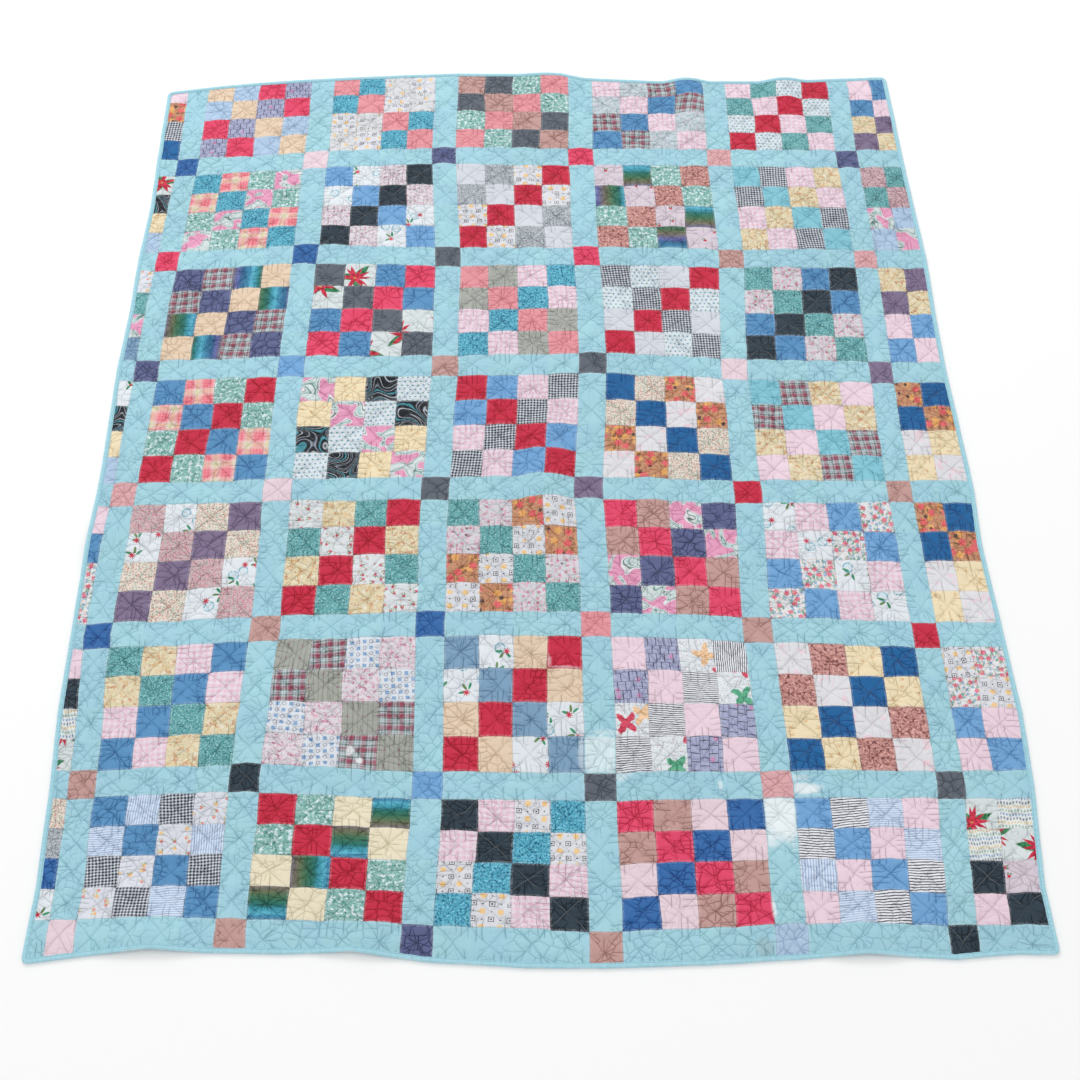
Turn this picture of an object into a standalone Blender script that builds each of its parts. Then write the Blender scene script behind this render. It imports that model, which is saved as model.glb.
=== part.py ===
"""A washed patchwork quilt, lying spread out flat.

The quilted body is one sheet: a pieced top, batting and backing held together by diagonal
stitching, so it is thin along the stitched lines and puffed between them. Four binding strips,
one a side, fold over its edge and meet in mitres at the corners.

Cell lines number the seams: u counts the columns of patches and sashes from the left edge, and
v counts the rows from the top edge. Each sash is one cell wide and each block is four cells.
The origin is the middle of the quilt's outline, on the surface that it lies on.
"""

import bmesh
import bpy
import numpy as np
from mathutils import Vector

MM = 0.001

# The piecing
PATCH = 0.062
SASH = 0.053
BLOCK_CELLS = 4
SASH_PERIOD = BLOCK_CELLS + 1
UPRIGHTS = 6
CROSSBARS = 7
FIRST_UPRIGHT = 1
FIRST_CROSSBAR = 4
LAST_WHOLE_COLUMN = 28
LAST_WHOLE_ROW = 35

# Middle of each upright sash where each crossbar sash meets it, in millimetres from the quilt's
# centre line: a row for each crossbar from the top, a column for each upright from the left.
UPRIGHT_X_MM = (
    (-776, -493, -210, 96, 402, 687),
    (-787, -496, -194, 102, 409, 695),
    (-794, -503, -190, 112, 396, 692),
    (-799, -505, -201, 96, 403, 696),
    (-807, -502, -199, 105, 399, 704),
    (-788, -511, -194, 105, 412, 711),
    (-785, -508, -204, 108, 412, 693),
)

# Middle of each crossbar sash where it meets each upright, in the same rows and columns.
CROSSBAR_Y_MM = (
    (760, 787, 801, 796, 793, 791),
    (481, 503, 495, 498, 491, 490),
    (182, 194, 195, 203, 187, 178),
    (-127, -116, -110, -111, -119, -120),
    (-444, -425, -416, -418, -430, -441),
    (-741, -729, -743, -746, -741, -741),
    (-1014, -1009, -1024, -1037, -1021, -1024),
)

# The quilt's outline, in millimetres: the sides at some heights, and the ends at some widths.
SIDE_Y_LEFT_RIGHT_MM = (
    (1040, -846, 803),
    (790, -845, 811),
    (640, -842, 817),
    (490, -849, 825),
    (340, -848, 824),
    (190, -854, 826),
    (-60, -851, 838),
    (-120, -852, 840),
    (-240, -856, 837),
    (-430, -855, 848),
    (-600, -854, 857),
    (-740, -846, 855),
    (-930, -840, 843),
    (-1050, -844, 850),
)
END_X_TOP_BOTTOM_MM = (
    (-850, 1004, -1064),
    (-740, 1023, -1049),
    (-640, 1037, -1039),
    (-540, 1047, -1044),
    (-420, 1056, -1046),
    (-310, 1063, -1043),
    (-190, 1069, -1059),
    (-20, 1068, -1070),
    (50, 1064, -1070),
    (100, 1055, -1070),
    (270, 1044, -1065),
    (400, 1044, -1057),
    (535, 1044, -1048),
    (680, 1052, -1056),
    (780, 1057, -1047),
    (850, 1058, -1049),
)
CORNER_ROUNDING = 0.006

# The binding, and how the edge of the body is pinched between its two layers
BINDING = 0.011
BINDING_CLOTH = 0.0007
GAP = 0.0003
EDGE_THICKNESS = 0.0016
PINCH_PAST_BINDING = 0.0015
EDGE_ROLL = 0.0005
MITRE_GAP = 0.0003

# The quilted sheet
STITCHED_THICKNESS = 0.0024
PUFF = 0.0030
PUFF_UNEVENNESS = 0.25
UNEVEN_WAVES = ((2.3, 0.7), (1.1, -1.9))  # radians for each column and row of cells

# Soft wrinkles that lift the whole sheet: middle x and y, direction from +X in degrees, half
# length, half width and height, in metres but for the direction.
WRINKLES = (
    (0.012, -0.085, 88.0, 0.190, 0.062, 0.015),
    (0.345, 1.000, 98.0, 0.150, 0.062, 0.013),
    (0.560, 1.020, 84.0, 0.120, 0.062, 0.011),
    (0.030, 1.040, 90.0, 0.100, 0.090, 0.007),
    (-0.640, -1.010, 90.0, 0.100, 0.110, 0.008),
    (-0.300, -1.020, 96.0, 0.090, 0.090, 0.006),
    (0.535, -1.020, 90.0, 0.090, 0.090, 0.007),
    (-0.840, -0.240, 4.0, 0.090, 0.080, 0.005),
)

AQUA = (0.352, 0.638, 0.716, 1.0)
PIECED_TOP = (0.480, 0.520, 0.560, 1.0)


def inset_of_rim():
    """How far the body's own rim lies inside the outline that the binding gives the quilt."""
    return BINDING_CLOTH + GAP + EDGE_ROLL


def inset_of_pinch():
    """How far inside the outline the body comes out from between the binding's layers."""
    return BINDING + PINCH_PAST_BINDING


def seam_lines(first, count):
    """The cell lines on both sides of each sash, in order."""
    return np.array([first + SASH_PERIOD * n + side for n in range(count) for side in (0, 1)])


def middle_lines(first, count):
    return np.array([first + 0.5 + SASH_PERIOD * n for n in range(count)])


def x_of(u, v):
    """Where column line u lies on row line v, in metres."""
    rows = middle_lines(FIRST_CROSSBAR, CROSSBARS)
    table = np.array(UPRIGHT_X_MM) * MM
    middles = np.array([np.interp(v, rows, table[:, n]) for n in range(UPRIGHTS)])
    lines = seam_lines(FIRST_UPRIGHT, UPRIGHTS)
    places = np.stack([middles - SASH / 2, middles + SASH / 2], axis=1).ravel()
    lines = np.concatenate([[lines[0] - 1], lines, [lines[-1] + 2]])
    places = np.concatenate([[places[0] - PATCH], places, [places[-1] + 2 * PATCH]])
    return np.interp(u, lines, places)


def y_of(u, v):
    """Where row line v lies on column line u, in metres."""
    columns = middle_lines(FIRST_UPRIGHT, UPRIGHTS)
    table = np.array(CROSSBAR_Y_MM) * MM
    middles = np.array([np.interp(u, columns, table[n]) for n in range(CROSSBARS)])
    lines = seam_lines(FIRST_CROSSBAR, CROSSBARS)
    places = np.stack([middles + SASH / 2, middles - SASH / 2], axis=1).ravel()
    lines = np.concatenate([[0], lines])
    places = np.concatenate([[places[0] + BLOCK_CELLS * PATCH], places])
    return np.interp(v, lines, places)


def side_x(y, column):
    """The outline's left (column 1) or right (column 2) edge at a height y."""
    table = np.array(SIDE_Y_LEFT_RIGHT_MM[::-1]) * MM
    return np.interp(y, table[:, 0], table[:, column])


def end_y(x, column):
    """The outline's top (column 1) or bottom (column 2) edge at a width x."""
    table = np.array(END_X_TOP_BOTTOM_MM) * MM
    return np.interp(x, table[:, 0], table[:, column])


def lift(x, y):
    """How far the wrinkles lift the sheet off the surface: nothing at all away from them."""
    height = 0.0
    for middle_x, middle_y, degrees, half_length, half_width, top in WRINKLES:
        angle = np.radians(degrees)
        along = (x - middle_x) * np.cos(angle) + (y - middle_y) * np.sin(angle)
        across = (y - middle_y) * np.cos(angle) - (x - middle_x) * np.sin(angle)
        inside = max(0.0, 1.0 - (along / half_length) ** 2 - (across / half_width) ** 2)
        height = max(height, top * inside**2)
    return height


def puff_at(u, v):
    """Height of the padding between the stitched diagonals, which run along whole u + v and u - v."""
    between_lines = abs(np.sin(np.pi * (u + v)) * np.sin(np.pi * (u - v)))
    first, second = [a * u + b * v for a, b in UNEVEN_WAVES]
    return PUFF * between_lines * (1.0 + PUFF_UNEVENNESS * np.sin(first) * np.cos(second))


# Grid lines of the body: the rim, the pinch, every half cell between them, the pinch, the rim.
# The outline cuts the first row and the outer columns, so its own lines fall inside those cells.
LEFT_LINES, RIGHT_LINES = [0.3, 0.6], [28.5, 28.7]
TOP_LINES, BOTTOM_LINES = [0.3, 0.5], [35.0, 35.2]
COLUMN_LINES = LEFT_LINES + [half / 2 for half in range(2, 2 * LAST_WHOLE_COLUMN + 1)] + RIGHT_LINES
ROW_LINES = TOP_LINES + [half / 2 for half in range(2, 2 * LAST_WHOLE_ROW)] + BOTTOM_LINES
LAST_I = len(COLUMN_LINES) - 1
LAST_K = len(ROW_LINES) - 1


def whole_lines(last):
    """The grid lines that are a rim, a pinch or a seam, and not the middle of a cell."""
    return [0, 1] + list(range(2, last - 1, 2)) + [last - 1, last]


def flat_place(i, k):
    """Where grid line i meets grid line k on the spread-out quilt."""
    u = COLUMN_LINES[i]
    v = ROW_LINES[k]
    x = x_of(u, v)
    y = y_of(u, v)
    if i <= 1:
        x = side_x(y, 1) + (inset_of_rim(), inset_of_pinch())[i]
    if i >= LAST_I - 1:
        x = side_x(y, 2) - (inset_of_rim(), inset_of_pinch())[LAST_I - i]
    if k <= 1:
        y = end_y(x, 1) - (inset_of_rim(), inset_of_pinch())[k]
    if k >= LAST_K - 1:
        y = end_y(x, 2) + (inset_of_rim(), inset_of_pinch())[LAST_K - k]
    return x, y


def straight_stops(is_rim, last):
    """The grid lines where a rim or a pinch may turn: its ends and the seams between them."""
    ends = (0, last) if is_rim else (1, last - 1)
    return [ends[0]] + list(range(2, last - 1, 2)) + [ends[1]]


def straighten(grid, line, stops):
    """Put a line's points on the straight stretches between its stops, in height as well."""
    for before, after in zip(stops[:-1], stops[1:]):
        start = grid[line[before]].copy()
        end = grid[line[after]].copy()
        for n in range(before + 1, after):
            share = np.linalg.norm((grid[line[n]] - start)[:2]) / np.linalg.norm((end - start)[:2])
            grid[line[n]] = start + (end - start) * share


def sheet_grid():
    """Each grid point's x and y, and how far the sheet is lifted there."""
    grid = np.zeros((LAST_I + 1, LAST_K + 1, 3))
    for i in range(LAST_I + 1):
        for k in range(LAST_K + 1):
            grid[i, k, :2] = flat_place(i, k)
    for i, inward_x in ((0, 1), (LAST_I, -1)):
        for k, inward_y in ((0, -1), (LAST_K, 1)):
            grid[i, k, 0] += inward_x * CORNER_ROUNDING
            grid[i, k, 1] += inward_y * CORNER_ROUNDING
    low = grid[:, :, :2].min(axis=(0, 1))
    high = grid[:, :, :2].max(axis=(0, 1))
    grid[:, :, :2] -= (low + high) / 2
    for i in range(LAST_I + 1):
        for k in range(LAST_K + 1):
            pinch_or_inside = grid[min(max(i, 1), LAST_I - 1), min(max(k, 1), LAST_K - 1)]
            grid[i, k, 2] = lift(*pinch_or_inside[:2])
    for edge in (0, 1, LAST_I - 1, LAST_I):
        upright = [(edge, k) for k in range(LAST_K + 1)]
        straighten(grid, upright, straight_stops(edge in (0, LAST_I), LAST_K))
    for edge in (0, 1, LAST_K - 1, LAST_K):
        crossing = [(i, edge) for i in range(LAST_I + 1)]
        straighten(grid, crossing, straight_stops(edge in (0, LAST_K), LAST_I))
    return grid


def in_scene(obj, colour, roughness):
    """Give an object its material and put it in the quilt's collection."""
    material = bpy.data.materials.new(obj.name + "_cloth")
    material.use_nodes = True
    shader = material.node_tree.nodes["Principled BSDF"]
    shader.inputs["Base Color"].default_value = colour
    shader.inputs["Roughness"].default_value = roughness
    shader.inputs["Metallic"].default_value = 0.0
    obj.data.materials.append(material)
    bpy.data.collections["patchwork_quilt"].objects.link(obj)


def index_grid(bm, columns, rows, layer=0):
    """A flat grid whose points stand at their grid line numbers, on a numbered layer."""
    made = bmesh.ops.create_grid(
        bm, x_segments=len(columns) - 1, y_segments=len(rows) - 1, size=0.5
    )
    for vert in made["verts"]:
        column = round((vert.co.x + 0.5) * (len(columns) - 1))
        row = round((vert.co.y + 0.5) * (len(rows) - 1))
        vert.co = Vector((columns[column], rows[row], layer))


def split_along_stitching(bm):
    """Turn each quad's diagonal to run along the stitched line that crosses it."""
    for face in list(bm.faces):
        stitched = [vert for vert in face.verts if round(vert.co.x + vert.co.y) % 2 == 0]
        bmesh.utils.face_split(face, stitched[0], stitched[1])


def halve_long_borders(bm, layer):
    """Give a coarse layer's border the same points as the fine layer's."""
    long_edges = [
        edge
        for edge in bm.edges
        if edge.is_boundary and edge.verts[0].co.z == layer and edge.calc_length() > 1.5
    ]
    bmesh.ops.bisect_edges(bm, edges=long_edges, cuts=1)


def body_heights(grid, i, k):
    """Underside and top of the sheet at a grid point."""
    under = grid[i, k, 2]
    if min(i, k) <= 1 or i >= LAST_I - 1 or k >= LAST_K - 1:
        under += BINDING_CLOTH + GAP
        return under, under + EDGE_THICKNESS
    return under, under + STITCHED_THICKNESS + puff_at(COLUMN_LINES[i], ROW_LINES[k])


def make_body(grid):
    """The quilted sheet: a top grid with its puffs, a coarser underside, and the rim between."""
    underside, top = 0, 1
    bm = bmesh.new()
    index_grid(bm, range(LAST_I + 1), range(LAST_K + 1), top)
    split_along_stitching(bm)
    index_grid(bm, whole_lines(LAST_I), whole_lines(LAST_K), underside)
    halve_long_borders(bm, underside)
    rims = [edge for edge in bm.edges if edge.is_boundary]
    for vert in bm.verts:
        i = round(vert.co.x)
        k = round(vert.co.y)
        height = body_heights(grid, i, k)[round(vert.co.z)]
        vert.co = Vector((*grid[i, k, :2], height))
    bmesh.ops.bridge_loops(bm, edges=rims)
    bmesh.ops.recalc_face_normals(bm, faces=bm.faces)
    mesh = bpy.data.meshes.new("quilt_body")
    bm.to_mesh(mesh)
    bm.free()
    mesh.shade_smooth()
    return bpy.data.objects.new("quilt_body", mesh)


def binding_section(rim, pinch, raised):
    """The inner face of the folded strip at one station, from under the quilt round to its top."""
    outward = (rim - pinch).normalized()
    hem = pinch + outward * PINCH_PAST_BINDING
    fold = rim + outward * GAP
    roll = fold + outward * EDGE_ROLL
    low = raised + BINDING_CLOTH
    high = low + EDGE_THICKNESS + 2 * GAP
    return [
        (hem.x, hem.y, low),
        (fold.x, fold.y, low),
        (roll.x, roll.y, (low + high) / 2),
        (fold.x, fold.y, high),
        (hem.x, hem.y, high),
    ]


def stations_of(side):
    """Pairs of grid points, on the rim and on the pinch, from one corner of a side to the next."""
    inner_i = {0: 1, LAST_I: LAST_I - 1}
    inner_k = {0: 1, LAST_K: LAST_K - 1}
    if side in ("left", "right"):
        i = 0 if side == "left" else LAST_I
        between = [((i, k), (inner_i[i], k)) for k in range(2, LAST_K - 1, 2)]
        first = ((i, 0), (inner_i[i], 1))
        last = ((i, LAST_K), (inner_i[i], LAST_K - 1))
    else:
        k = 0 if side == "top" else LAST_K
        between = [((i, k), (i, inner_k[k])) for i in range(2, LAST_I - 1, 2)]
        first = ((0, k), (1, inner_k[k]))
        last = ((LAST_I, k), (LAST_I - 1, inner_k[k]))
    return [first] + between + [last]


def make_binding(side, grid):
    """One strip of binding, folded over one side of the body and mitred at both ends."""
    stations = stations_of(side)
    sections = []
    for rim_at, pinch_at in stations:
        rim = Vector(grid[rim_at][:2])
        pinch = Vector(grid[pinch_at][:2])
        sections.append(binding_section(rim, pinch, grid[pinch_at][2]))
    for end, neighbour in ((0, 1), (-1, -2)):
        start = Vector(sections[end][0])
        along = (Vector(sections[neighbour][0]) - start).normalized() * MITRE_GAP
        sections[end] = [tuple(Vector(point) + along) for point in sections[end]]
    bm = bmesh.new()
    points = len(sections[0])
    index_grid(bm, range(len(sections)), range(points))
    for vert in bm.verts:
        vert.co = Vector(sections[round(vert.co.x)][round(vert.co.y)])
    mesh = bpy.data.meshes.new("binding_" + side)
    bm.to_mesh(mesh)
    bm.free()
    if side in ("right", "top"):
        mesh.flip_normals()
    mesh.shade_smooth()
    strip = bpy.data.objects.new("binding_" + side, mesh)
    cloth = strip.modifiers.new("cloth", "SOLIDIFY")
    cloth.thickness = BINDING_CLOTH
    cloth.offset = 1.0
    cloth.use_even_offset = True
    return strip


def main():
    for obj in list(bpy.data.objects):
        bpy.data.objects.remove(obj, do_unlink=True)
    quilt = bpy.data.collections.new("patchwork_quilt")
    bpy.context.scene.collection.children.link(quilt)
    grid = sheet_grid()
    in_scene(make_body(grid), PIECED_TOP, 0.92)
    for side in ("left", "right", "top", "bottom"):
        in_scene(make_binding(side, grid), AQUA, 0.9)


main()
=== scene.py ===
"""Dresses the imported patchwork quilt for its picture.

The quilted top is seven tiers of cloth, each one row of blocks with the sash row below it, laid
over the CAD body with their own stitching, puckers and prints. A backing lies under them, and four
folded strips bind the edge. Cell coordinates number the piecing as the CAD source does: u counts
the columns of patches and sashes from the left edge, and v counts the rows from the top edge.
"""

import math
from functools import partial, reduce

import bpy
import numpy as np
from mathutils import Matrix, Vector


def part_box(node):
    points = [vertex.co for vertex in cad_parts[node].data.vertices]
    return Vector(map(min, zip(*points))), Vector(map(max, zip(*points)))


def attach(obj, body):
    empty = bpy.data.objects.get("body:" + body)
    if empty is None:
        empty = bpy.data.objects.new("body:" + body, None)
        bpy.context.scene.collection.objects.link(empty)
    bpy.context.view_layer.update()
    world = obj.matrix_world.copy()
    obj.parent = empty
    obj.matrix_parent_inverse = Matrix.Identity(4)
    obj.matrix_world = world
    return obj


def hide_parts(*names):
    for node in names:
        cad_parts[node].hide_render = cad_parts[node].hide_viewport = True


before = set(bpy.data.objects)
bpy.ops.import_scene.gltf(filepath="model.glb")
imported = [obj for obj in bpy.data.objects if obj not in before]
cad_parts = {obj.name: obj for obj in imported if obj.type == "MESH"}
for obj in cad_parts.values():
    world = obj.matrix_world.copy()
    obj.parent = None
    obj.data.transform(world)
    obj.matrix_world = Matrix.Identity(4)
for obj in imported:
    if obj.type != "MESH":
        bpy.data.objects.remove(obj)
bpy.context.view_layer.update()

MM = 0.001

# ---------------------------------------------------------------- the piecing, as in the CAD

PATCH = 0.062
SASH = 0.053
BLOCK_CELLS = 4
BLOCKS_ACROSS = 5
SASH_PERIOD = BLOCK_CELLS + 1
UPRIGHTS = 6
CROSSBARS = 7
UPRIGHT_WIDTH_MM = (47, 53, 53, 55, 53, 47)
TOP_PATCH_LEFT_RIGHT_MM = (61, 55)
RIGHT_PATCH_TOP_BOTTOM_MM = (51, 55)
FIRST_UPRIGHT = 1
FIRST_CROSSBAR = 4
LAST_COLUMN = 28
LAST_ROW = 34

# Middle of each upright sash where each crossbar sash meets it, in millimetres from the quilt's
# centre line: a row for each crossbar from the top, a column for each upright from the left.
UPRIGHT_X_MM = (
    (-776, -493, -210, 96, 402, 687),
    (-787, -496, -194, 102, 409, 695),
    (-794, -503, -190, 112, 396, 692),
    (-799, -505, -201, 96, 403, 696),
    (-807, -502, -199, 105, 399, 704),
    (-788, -511, -194, 105, 412, 711),
    (-785, -508, -204, 108, 412, 693),
)

# Middle of each crossbar sash where it meets each upright, in the same rows and columns.
CROSSBAR_Y_MM = (
    (760, 787, 801, 796, 793, 791),
    (481, 503, 495, 498, 491, 490),
    (182, 194, 195, 203, 187, 178),
    (-127, -116, -110, -111, -119, -120),
    (-444, -425, -416, -418, -430, -441),
    (-741, -729, -743, -746, -741, -741),
    (-1014, -1009, -1024, -1037, -1021, -1024),
)

# The quilt's outline, in millimetres: its two sides at some heights, and its ends at some widths.
SIDE_Y_MM = (-1050, -930, -740, -600, -430, -240, -120, -60, 190, 340, 490, 640, 790, 1040)
LEFT_X_MM = (-844, -840, -846, -854, -855, -856, -852, -851, -854, -848, -849, -842, -845, -846)
RIGHT_X_MM = (850, 843, 855, 857, 848, 837, 840, 838, 826, 824, 825, 817, 811, 803)
END_X_MM = (-850, -740, -640, -540, -420, -310, -190, -20, 50, 100, 270, 400, 535, 680, 780, 850)
TOP_Y_MM = (
    1004, 1023, 1037, 1047, 1056, 1063, 1069, 1068,
    1064, 1055, 1044, 1044, 1044, 1052, 1057, 1058,
)
BOTTOM_Y_MM = (
    -1064, -1049, -1039, -1044, -1046, -1043, -1059, -1070,
    -1070, -1070, -1065, -1057, -1048, -1056, -1047, -1049,
)

# Soft wrinkles that lift the whole sheet: middle x and y, direction from +X in degrees, half
# length, half width and height, in metres but for the direction.
WRINKLES = (
    (0.012, -0.085, 88.0, 0.190, 0.062, 0.015),
    (0.345, 1.000, 98.0, 0.150, 0.062, 0.013),
    (0.560, 1.020, 84.0, 0.120, 0.062, 0.011),
    (0.030, 1.040, 90.0, 0.100, 0.090, 0.007),
    (-0.640, -1.010, 90.0, 0.100, 0.110, 0.008),
    (-0.300, -1.020, 96.0, 0.090, 0.090, 0.006),
    (0.535, -1.020, 90.0, 0.090, 0.090, 0.007),
    (-0.840, -0.240, 4.0, 0.090, 0.080, 0.005),
)

# ---------------------------------------------------------------- the cloth's own sizes

STITCHED_THICKNESS = 0.0024
PUFF = 0.0022
PUFF_UNEVENNESS = 0.40
PUFF_ROUNDNESS = 0.8
UNEVEN_WAVES = ((2.3, 0.7), (1.1, -1.9))
SEAM_DITCH = 0.0005
SEAM_ALLOWANCE = 0.0004
ALLOWANCE_AT = 0.004
SEAM_REACH = 0.003
FAR_OFF = 0.05
SEAM_MISMATCH = 0.0015
MISMATCH_BLEND = 0.06
UPRIGHT_MISMATCH_SHARE = 0.35
RIM_CALM = 0.03
PADDED_AT = 0.016
PUCKER = 0.0010
PUCKER_REACH = 0.0060
PUCKER_RISE = 0.0003
CORNER_RADIUS = 0.010
RIM_INSET = 0.0024
BINDING = 0.0088
BINDING_TOP = 0.0040
BINDING_STITCH = 0.0020
UNPADDED = BINDING * 0.7
LONGEST_STRIP = 3.0
BINDING_WAVE = 0.0004
WAVES_APART = 0.045
CRIMPS_APART = 0.0055
CRIMP_RISE = 0.00022
HEM_CRIMP = 0.0004
HEM_FROM = 0.0055
HEM_WIDTH = 0.003
STATION_APART = 0.0022
BACKING_STEP = 4

PATCH_STEPS = 20
SASH_STEPS = 18
SIDE_STEPS = 14
TOP_STEPS = 16
BOTTOM_STEPS = 18
NOISE_CELLS = 40
RANDOM = np.random.RandomState(11)

# Soft noises over the sheet, each with its strength and its size in cells: how far the seams
# wander and how high the sheet waves, in metres; how far the creases bend, in cells; how creased
# the cloth is; how ragged its spots are; and how its tone drifts. Then the sizes of the three
# noises that break the creases up.
SEAM_WOBBLES = ((0.0022, 1.6), (0.0006, 0.28))
SHEET_WAVES = ((0.0006, 1.9), (0.0004, 0.7))
CREASE_BENDS = ((0.080, 1.1), (0.030, 0.37), (0.009, 0.16))
CREASE_AMOUNT = ((0.34, 1.3), (0.20, 0.55))
SPOT_EDGES = ((0.30, 0.5), (0.16, 0.15))
TONE_DRIFT = ((0.32, 2.7), (0.18, 0.8))
CREASE_BREAK_SIZES = (0.23, 0.29, 0.36)

# The vectors that each sheet keeps at its points, for the materials to read.
STORED = ("cells", "bent", "breaks", "wear")

# ---------------------------------------------------------------- which fabric lies where

# The fabrics A, B, C and D of each block, row by row from the top, and their places from left to
# right and top to bottom: in crossed diagonals, but for a few blocks that are named by number.
CROSSED = "ABCD BADC CDAB DCBA"
ARRANGED = {
    1: "ABCD BADC DCAB CDBA",
    13: "ABCD BADB CDAC DCBA",
    21: "ABCD CADB BDAC DCBA",
    30: "ABCD BADB CDAC DCBA",
}
BLOCKS = (
    "cream_tan periwinkle rose_red brickwork",
    "coral teal_print pale_squares squares",
    "mauve charcoal green_leaf coral",
    "pink_gingham grey_floral red_plaid blue",
    "pink_gingham green_mottle blue_dots red",
    "teal_print orange_plaid green_leaf pink_paisley",
    "mid_blue festive pink_sprig black",
    "white grey_print squares red",
    "pink_cherry ombre green_leaf rust_print",
    "turquoise black_gingham pink_gingham yellow_floral",
    "navy_purple red_plaid ombre cream_tan",
    "charcoal poinsettia blue rose_red",
    "coral khaki pink_gingham teal_print",
    "black_gingham blue_dots white red",
    "green_mottle pink_floral blue black",
    "blue orange_plaid green_leaf red",
    "pink_paisley yellow_sprig black_paisley blue_dots",
    "red mid_blue pink_gingham black_gingham",
    "navy cream_calico orange_floral pinkish_white",
    "turquoise red_plaid yellow_floral pink",
    "pink_calico festive cream_calico purple",
    "rosebuds yellow_floral green_mottle red",
    "green_mottle pink_floral orange_floral squares",
    "rose_red mauve pink_paisley navy_purple",
    "festive pink_gingham mid_blue multi_floral",
    "green_mottle yellow_floral pink_gingham blue",
    "khaki_stripe red_plaid blue_squares pink_blotch",
    "slate_blue festive cream_tan red",
    "pink brickwork big_motif grey_stripe",
    "pinkish_white rust_print yellow_sprig navy",
    "blue light_stripe black_gingham orange_flowers",
    "red green_leaf cream_yellow ombre",
    "black pink_gingham squares teal_print",
    "rose_red mauve pale_pink royal_blue",
    "mid_blue black_stripe light_stripe pink",
)

# The strips of patches that the outline cuts, a line for each row of blocks from the top.
LEFT_STRIP = (
    "pink orange_floral black_gingham navy",
    "poinsettia black_paisley yellow_sprig periwinkle",
    "orange_flowers green_mottle pink_paisley slate_blue",
    "holly black_paisley yellow_sprig periwinkle",
    "pink blue multi_floral multi_floral",
    "pink black dotted_stripe poinsettia",
    "cream_calico grey_print royal_blue festive",
)
RIGHT_STRIP = (
    "pink blue/blue pink/yellow_floral purple/purple yellow_floral",
    "dusty_rose green_mottle/green_mottle dusty_rose/pink_paisley periwinkle/periwinkle pink_paisley",
    "yellow_floral purple/purple yellow_floral/pink mid_blue/mid_blue pink",
    "orange_floral navy/navy orange_floral/pinkish_white yellow_sprig/yellow_sprig pinkish_white",
    "orange_floral navy/navy orange_floral/pinkish_white yellow_sprig/yellow_sprig pinkish_white",
    "squares multi_floral/multi_floral squares/mid_blue pink/pink mid_blue",
    "poinsettia dotted_stripe/dotted_stripe poinsettia/black pink_cherry/pink black",
)
CORNERSTONES = (
    "royal_blue pale_pink navy_purple rose_red salmon navy_purple",
    "rose_red royal_blue charcoal rose_red mauve salmon",
    "navy_purple mid_blue mauve charcoal pale_pink purple",
    "salmon pale_pink charcoal purple red mauve",
    "royal_blue mauve royal_blue coral mauve red",
    "mauve black mid_blue charcoal salmon charcoal",
    "pale_pink mauve navy_purple mauve periwinkle black",
)

# Patches whose stripes run up the quilt: column and row.
TURNED = {(3, 30), (5, 31), (22, 32), (20, 25), (20, 27), (19, 28)}

# How each ombre patch was cut: column and row, then how many quarter turns its bands make and how
# far through its run of colours its middle is.
OMBRE_PERIOD = 0.093
OMBRE_CUTS = {
    (18, 5): (2, 0.24),
    (17, 6): (1, 0.13),
    (20, 7): (2, 0.22),
    (19, 8): (2, 0.90),
    (4, 10): (3, 0.62),
    (5, 11): (1, 0.46),
    (2, 12): (1, 0.25),
    (3, 13): (1, 0.62),
    (10, 30): (2, 0.28),
    (9, 31): (0, 0.28),
    (8, 32): (1, 0.27),
    (7, 33): (0, 0.30),
}

# Patches cut from a chosen place on the bolt: column, row and the place, from 0 to 1.
CUTS = {
    (0, 5): 0.164,
    (7, 11): 0.02,
    (27, 30): 0.788,
    (28, 31): 0.02,
    (19, 25): 0.404,
    (20, 26): 0.788,
    (17, 27): 0.068,
    (18, 28): 0.74,
    (22, 20): 0.26,
    (23, 21): 0.212,
    (24, 22): 0.692,
    (25, 23): 0.02,
}

# Where bleach or dirt has spotted the quilt: middle u and v, half width and height in cells, how
# strong it is, and the first and last u and v of the cloths that took it. A negative strength is a
# brown stain. A spot ends this many half widths from its middle, and fades over this many.
SPOT_END = 1.35
SPOT_FADE = 0.7
SPOTS = (
    (21.50, 30.72, 0.62, 0.85, 0.95, 21.00, 22.00, 30.00, 32.50),
    (22.36, 29.66, 0.36, 0.18, 0.85, 22.02, 24.00, 29.05, 29.95),
    (22.20, 29.25, 0.24, 0.10, 0.40, 22.02, 24.00, 29.05, 29.95),
    (19.88, 29.50, 0.05, 0.13, 0.55, 17.00, 21.00, 29.05, 29.95),
    (16.50, 28.50, 0.80, 0.64, 0.62, 16.00, 17.00, 28.00, 29.00),
    (16.70, 28.00, 0.50, 0.16, 0.35, 16.00, 17.00, 27.60, 28.00),
    (16.02, 28.50, 0.17, 0.50, 0.42, 15.00, 16.00, 28.00, 29.00),
    (17.00, 29.00, 0.42, 0.26, 0.50, 17.00, 18.00, 29.00, 29.50),
    (15.35, 26.00, 0.62, 0.06, 0.50, 15.00, 16.00, 25.00, 26.00),
    (15.04, 25.78, 0.07, 0.16, 0.40, 15.00, 16.00, 25.00, 26.00),
    (9.30, 28.45, 0.12, 0.16, 0.85, 9.00, 10.00, 28.00, 29.00),
    (9.55, 28.75, 0.09, 0.10, 0.85, 9.00, 10.00, 28.00, 29.00),
    (21.02, 33.50, 0.07, 0.28, 0.85, 20.80, 21.30, 33.00, 34.00),
    (20.72, 34.62, 0.20, 0.26, -0.20, 20.00, 21.00, 34.00, 35.00),
)


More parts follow.
